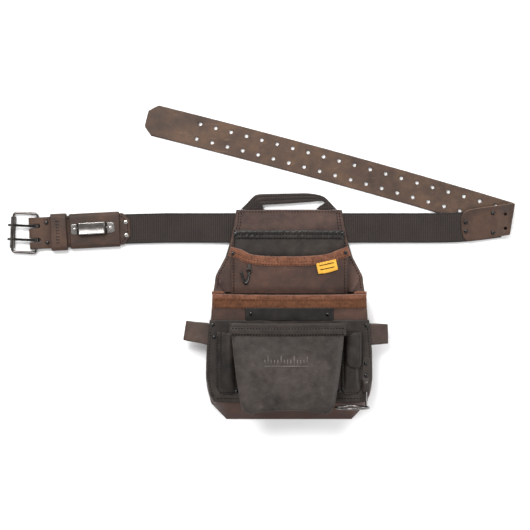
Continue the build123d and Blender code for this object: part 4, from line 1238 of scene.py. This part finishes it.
for node, mat in (("buckle_frame", DARK_STEEL), ("buckle_roller", DARK_STEEL), ("prong_upper", DARK_STEEL),
                  ("prong_lower", DARK_STEEL), ("hammer_ring", RING_STEEL)):
    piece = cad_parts[node]
    piece.data.materials.clear()
    piece.data.materials.append(mat)
    if node.startswith("prong"):
        bevel = piece.modifiers.new("soft_edges", "BEVEL")
        bevel.width = 0.0007
        bevel.segments = 3

# ---------------------------------------------------------------- floor, light and camera

bpy.ops.mesh.primitive_plane_add(size=8.0, location=(0, 0, ORIGIN[2] - 0.0002))
floor = bpy.context.object
floor.name = "floor"
pale = Shader("pale_floor", roughness=0.9, specular=0.1)
pale.link(pale.ramp(pale.noise(2.0, 2), (0.3, (0.93, 0.93, 0.93, 1)), (0.7, (0.95, 0.95, 0.95, 1))),
          pale.bsdf.inputs["Base Color"])
floor.data.materials.append(pale.mat)

world = bpy.data.worlds.new("studio")
world.use_nodes = True
nodes, links = world.node_tree.nodes, world.node_tree.links
sky = nodes.new("ShaderNodeSeparateXYZ")
links.new(nodes.new("ShaderNodeTexCoord").outputs["Generated"], sky.inputs[0])
shade = nodes.new("ShaderNodeValToRGB")
band = shade.color_ramp.elements
band.remove(band[1])
for place, grey in ((0.0, 0.12), (0.3, 0.5), (0.55, 1.0), (0.86, 0.95), (0.97, 0.3), (1.0, 0.2)):
    element = band[0] if place == 0 else band.new(place)
    element.position = place
    element.color = (grey, grey, grey, 1)
links.new(sky.outputs["Z"], shade.inputs[0])
links.new(shade.outputs[0], nodes["Background"].inputs[0])
nodes["Background"].inputs[1].default_value = 1.0
SCENE.world = world


def lamp(name, place, size, power):
    data = bpy.data.lights.new(name, "AREA")
    data.shape = "RECTANGLE"
    data.size, data.size_y = size
    data.energy = power
    obj = bpy.data.objects.new(name, data)
    SCENE.collection.objects.link(obj)
    obj.location = place
    obj.rotation_euler = (Vector((0, -0.05, 0)) - Vector(place)).to_track_quat("-Z", "Y").to_euler()


lamp("key", (-0.6, 1.0, 1.9), (1.1, 0.8), 44)
lamp("rake", (0.5, 2.0, 0.8), (1.6, 0.4), 30)
lamp("fill", (1.7, -0.5, 1.4), (0.8, 1.0), 14)

CAMERA_UP, VIEW_WIDE = 2600.0, 874.5     # its height, and the width in view on the floor
camera = bpy.data.cameras.new("camera")
camera.sensor_width = 36.0
camera.lens = camera.sensor_width * CAMERA_UP / VIEW_WIDE
camera.clip_end = 20
view = bpy.data.objects.new("camera", camera)
SCENE.collection.objects.link(view)
view.location = Vector(np.array([-39.6, -61.0, CAMERA_UP]) / 1000 + ORIGIN)
SCENE.camera = view
SCENE.view_settings.view_transform = "Standard"
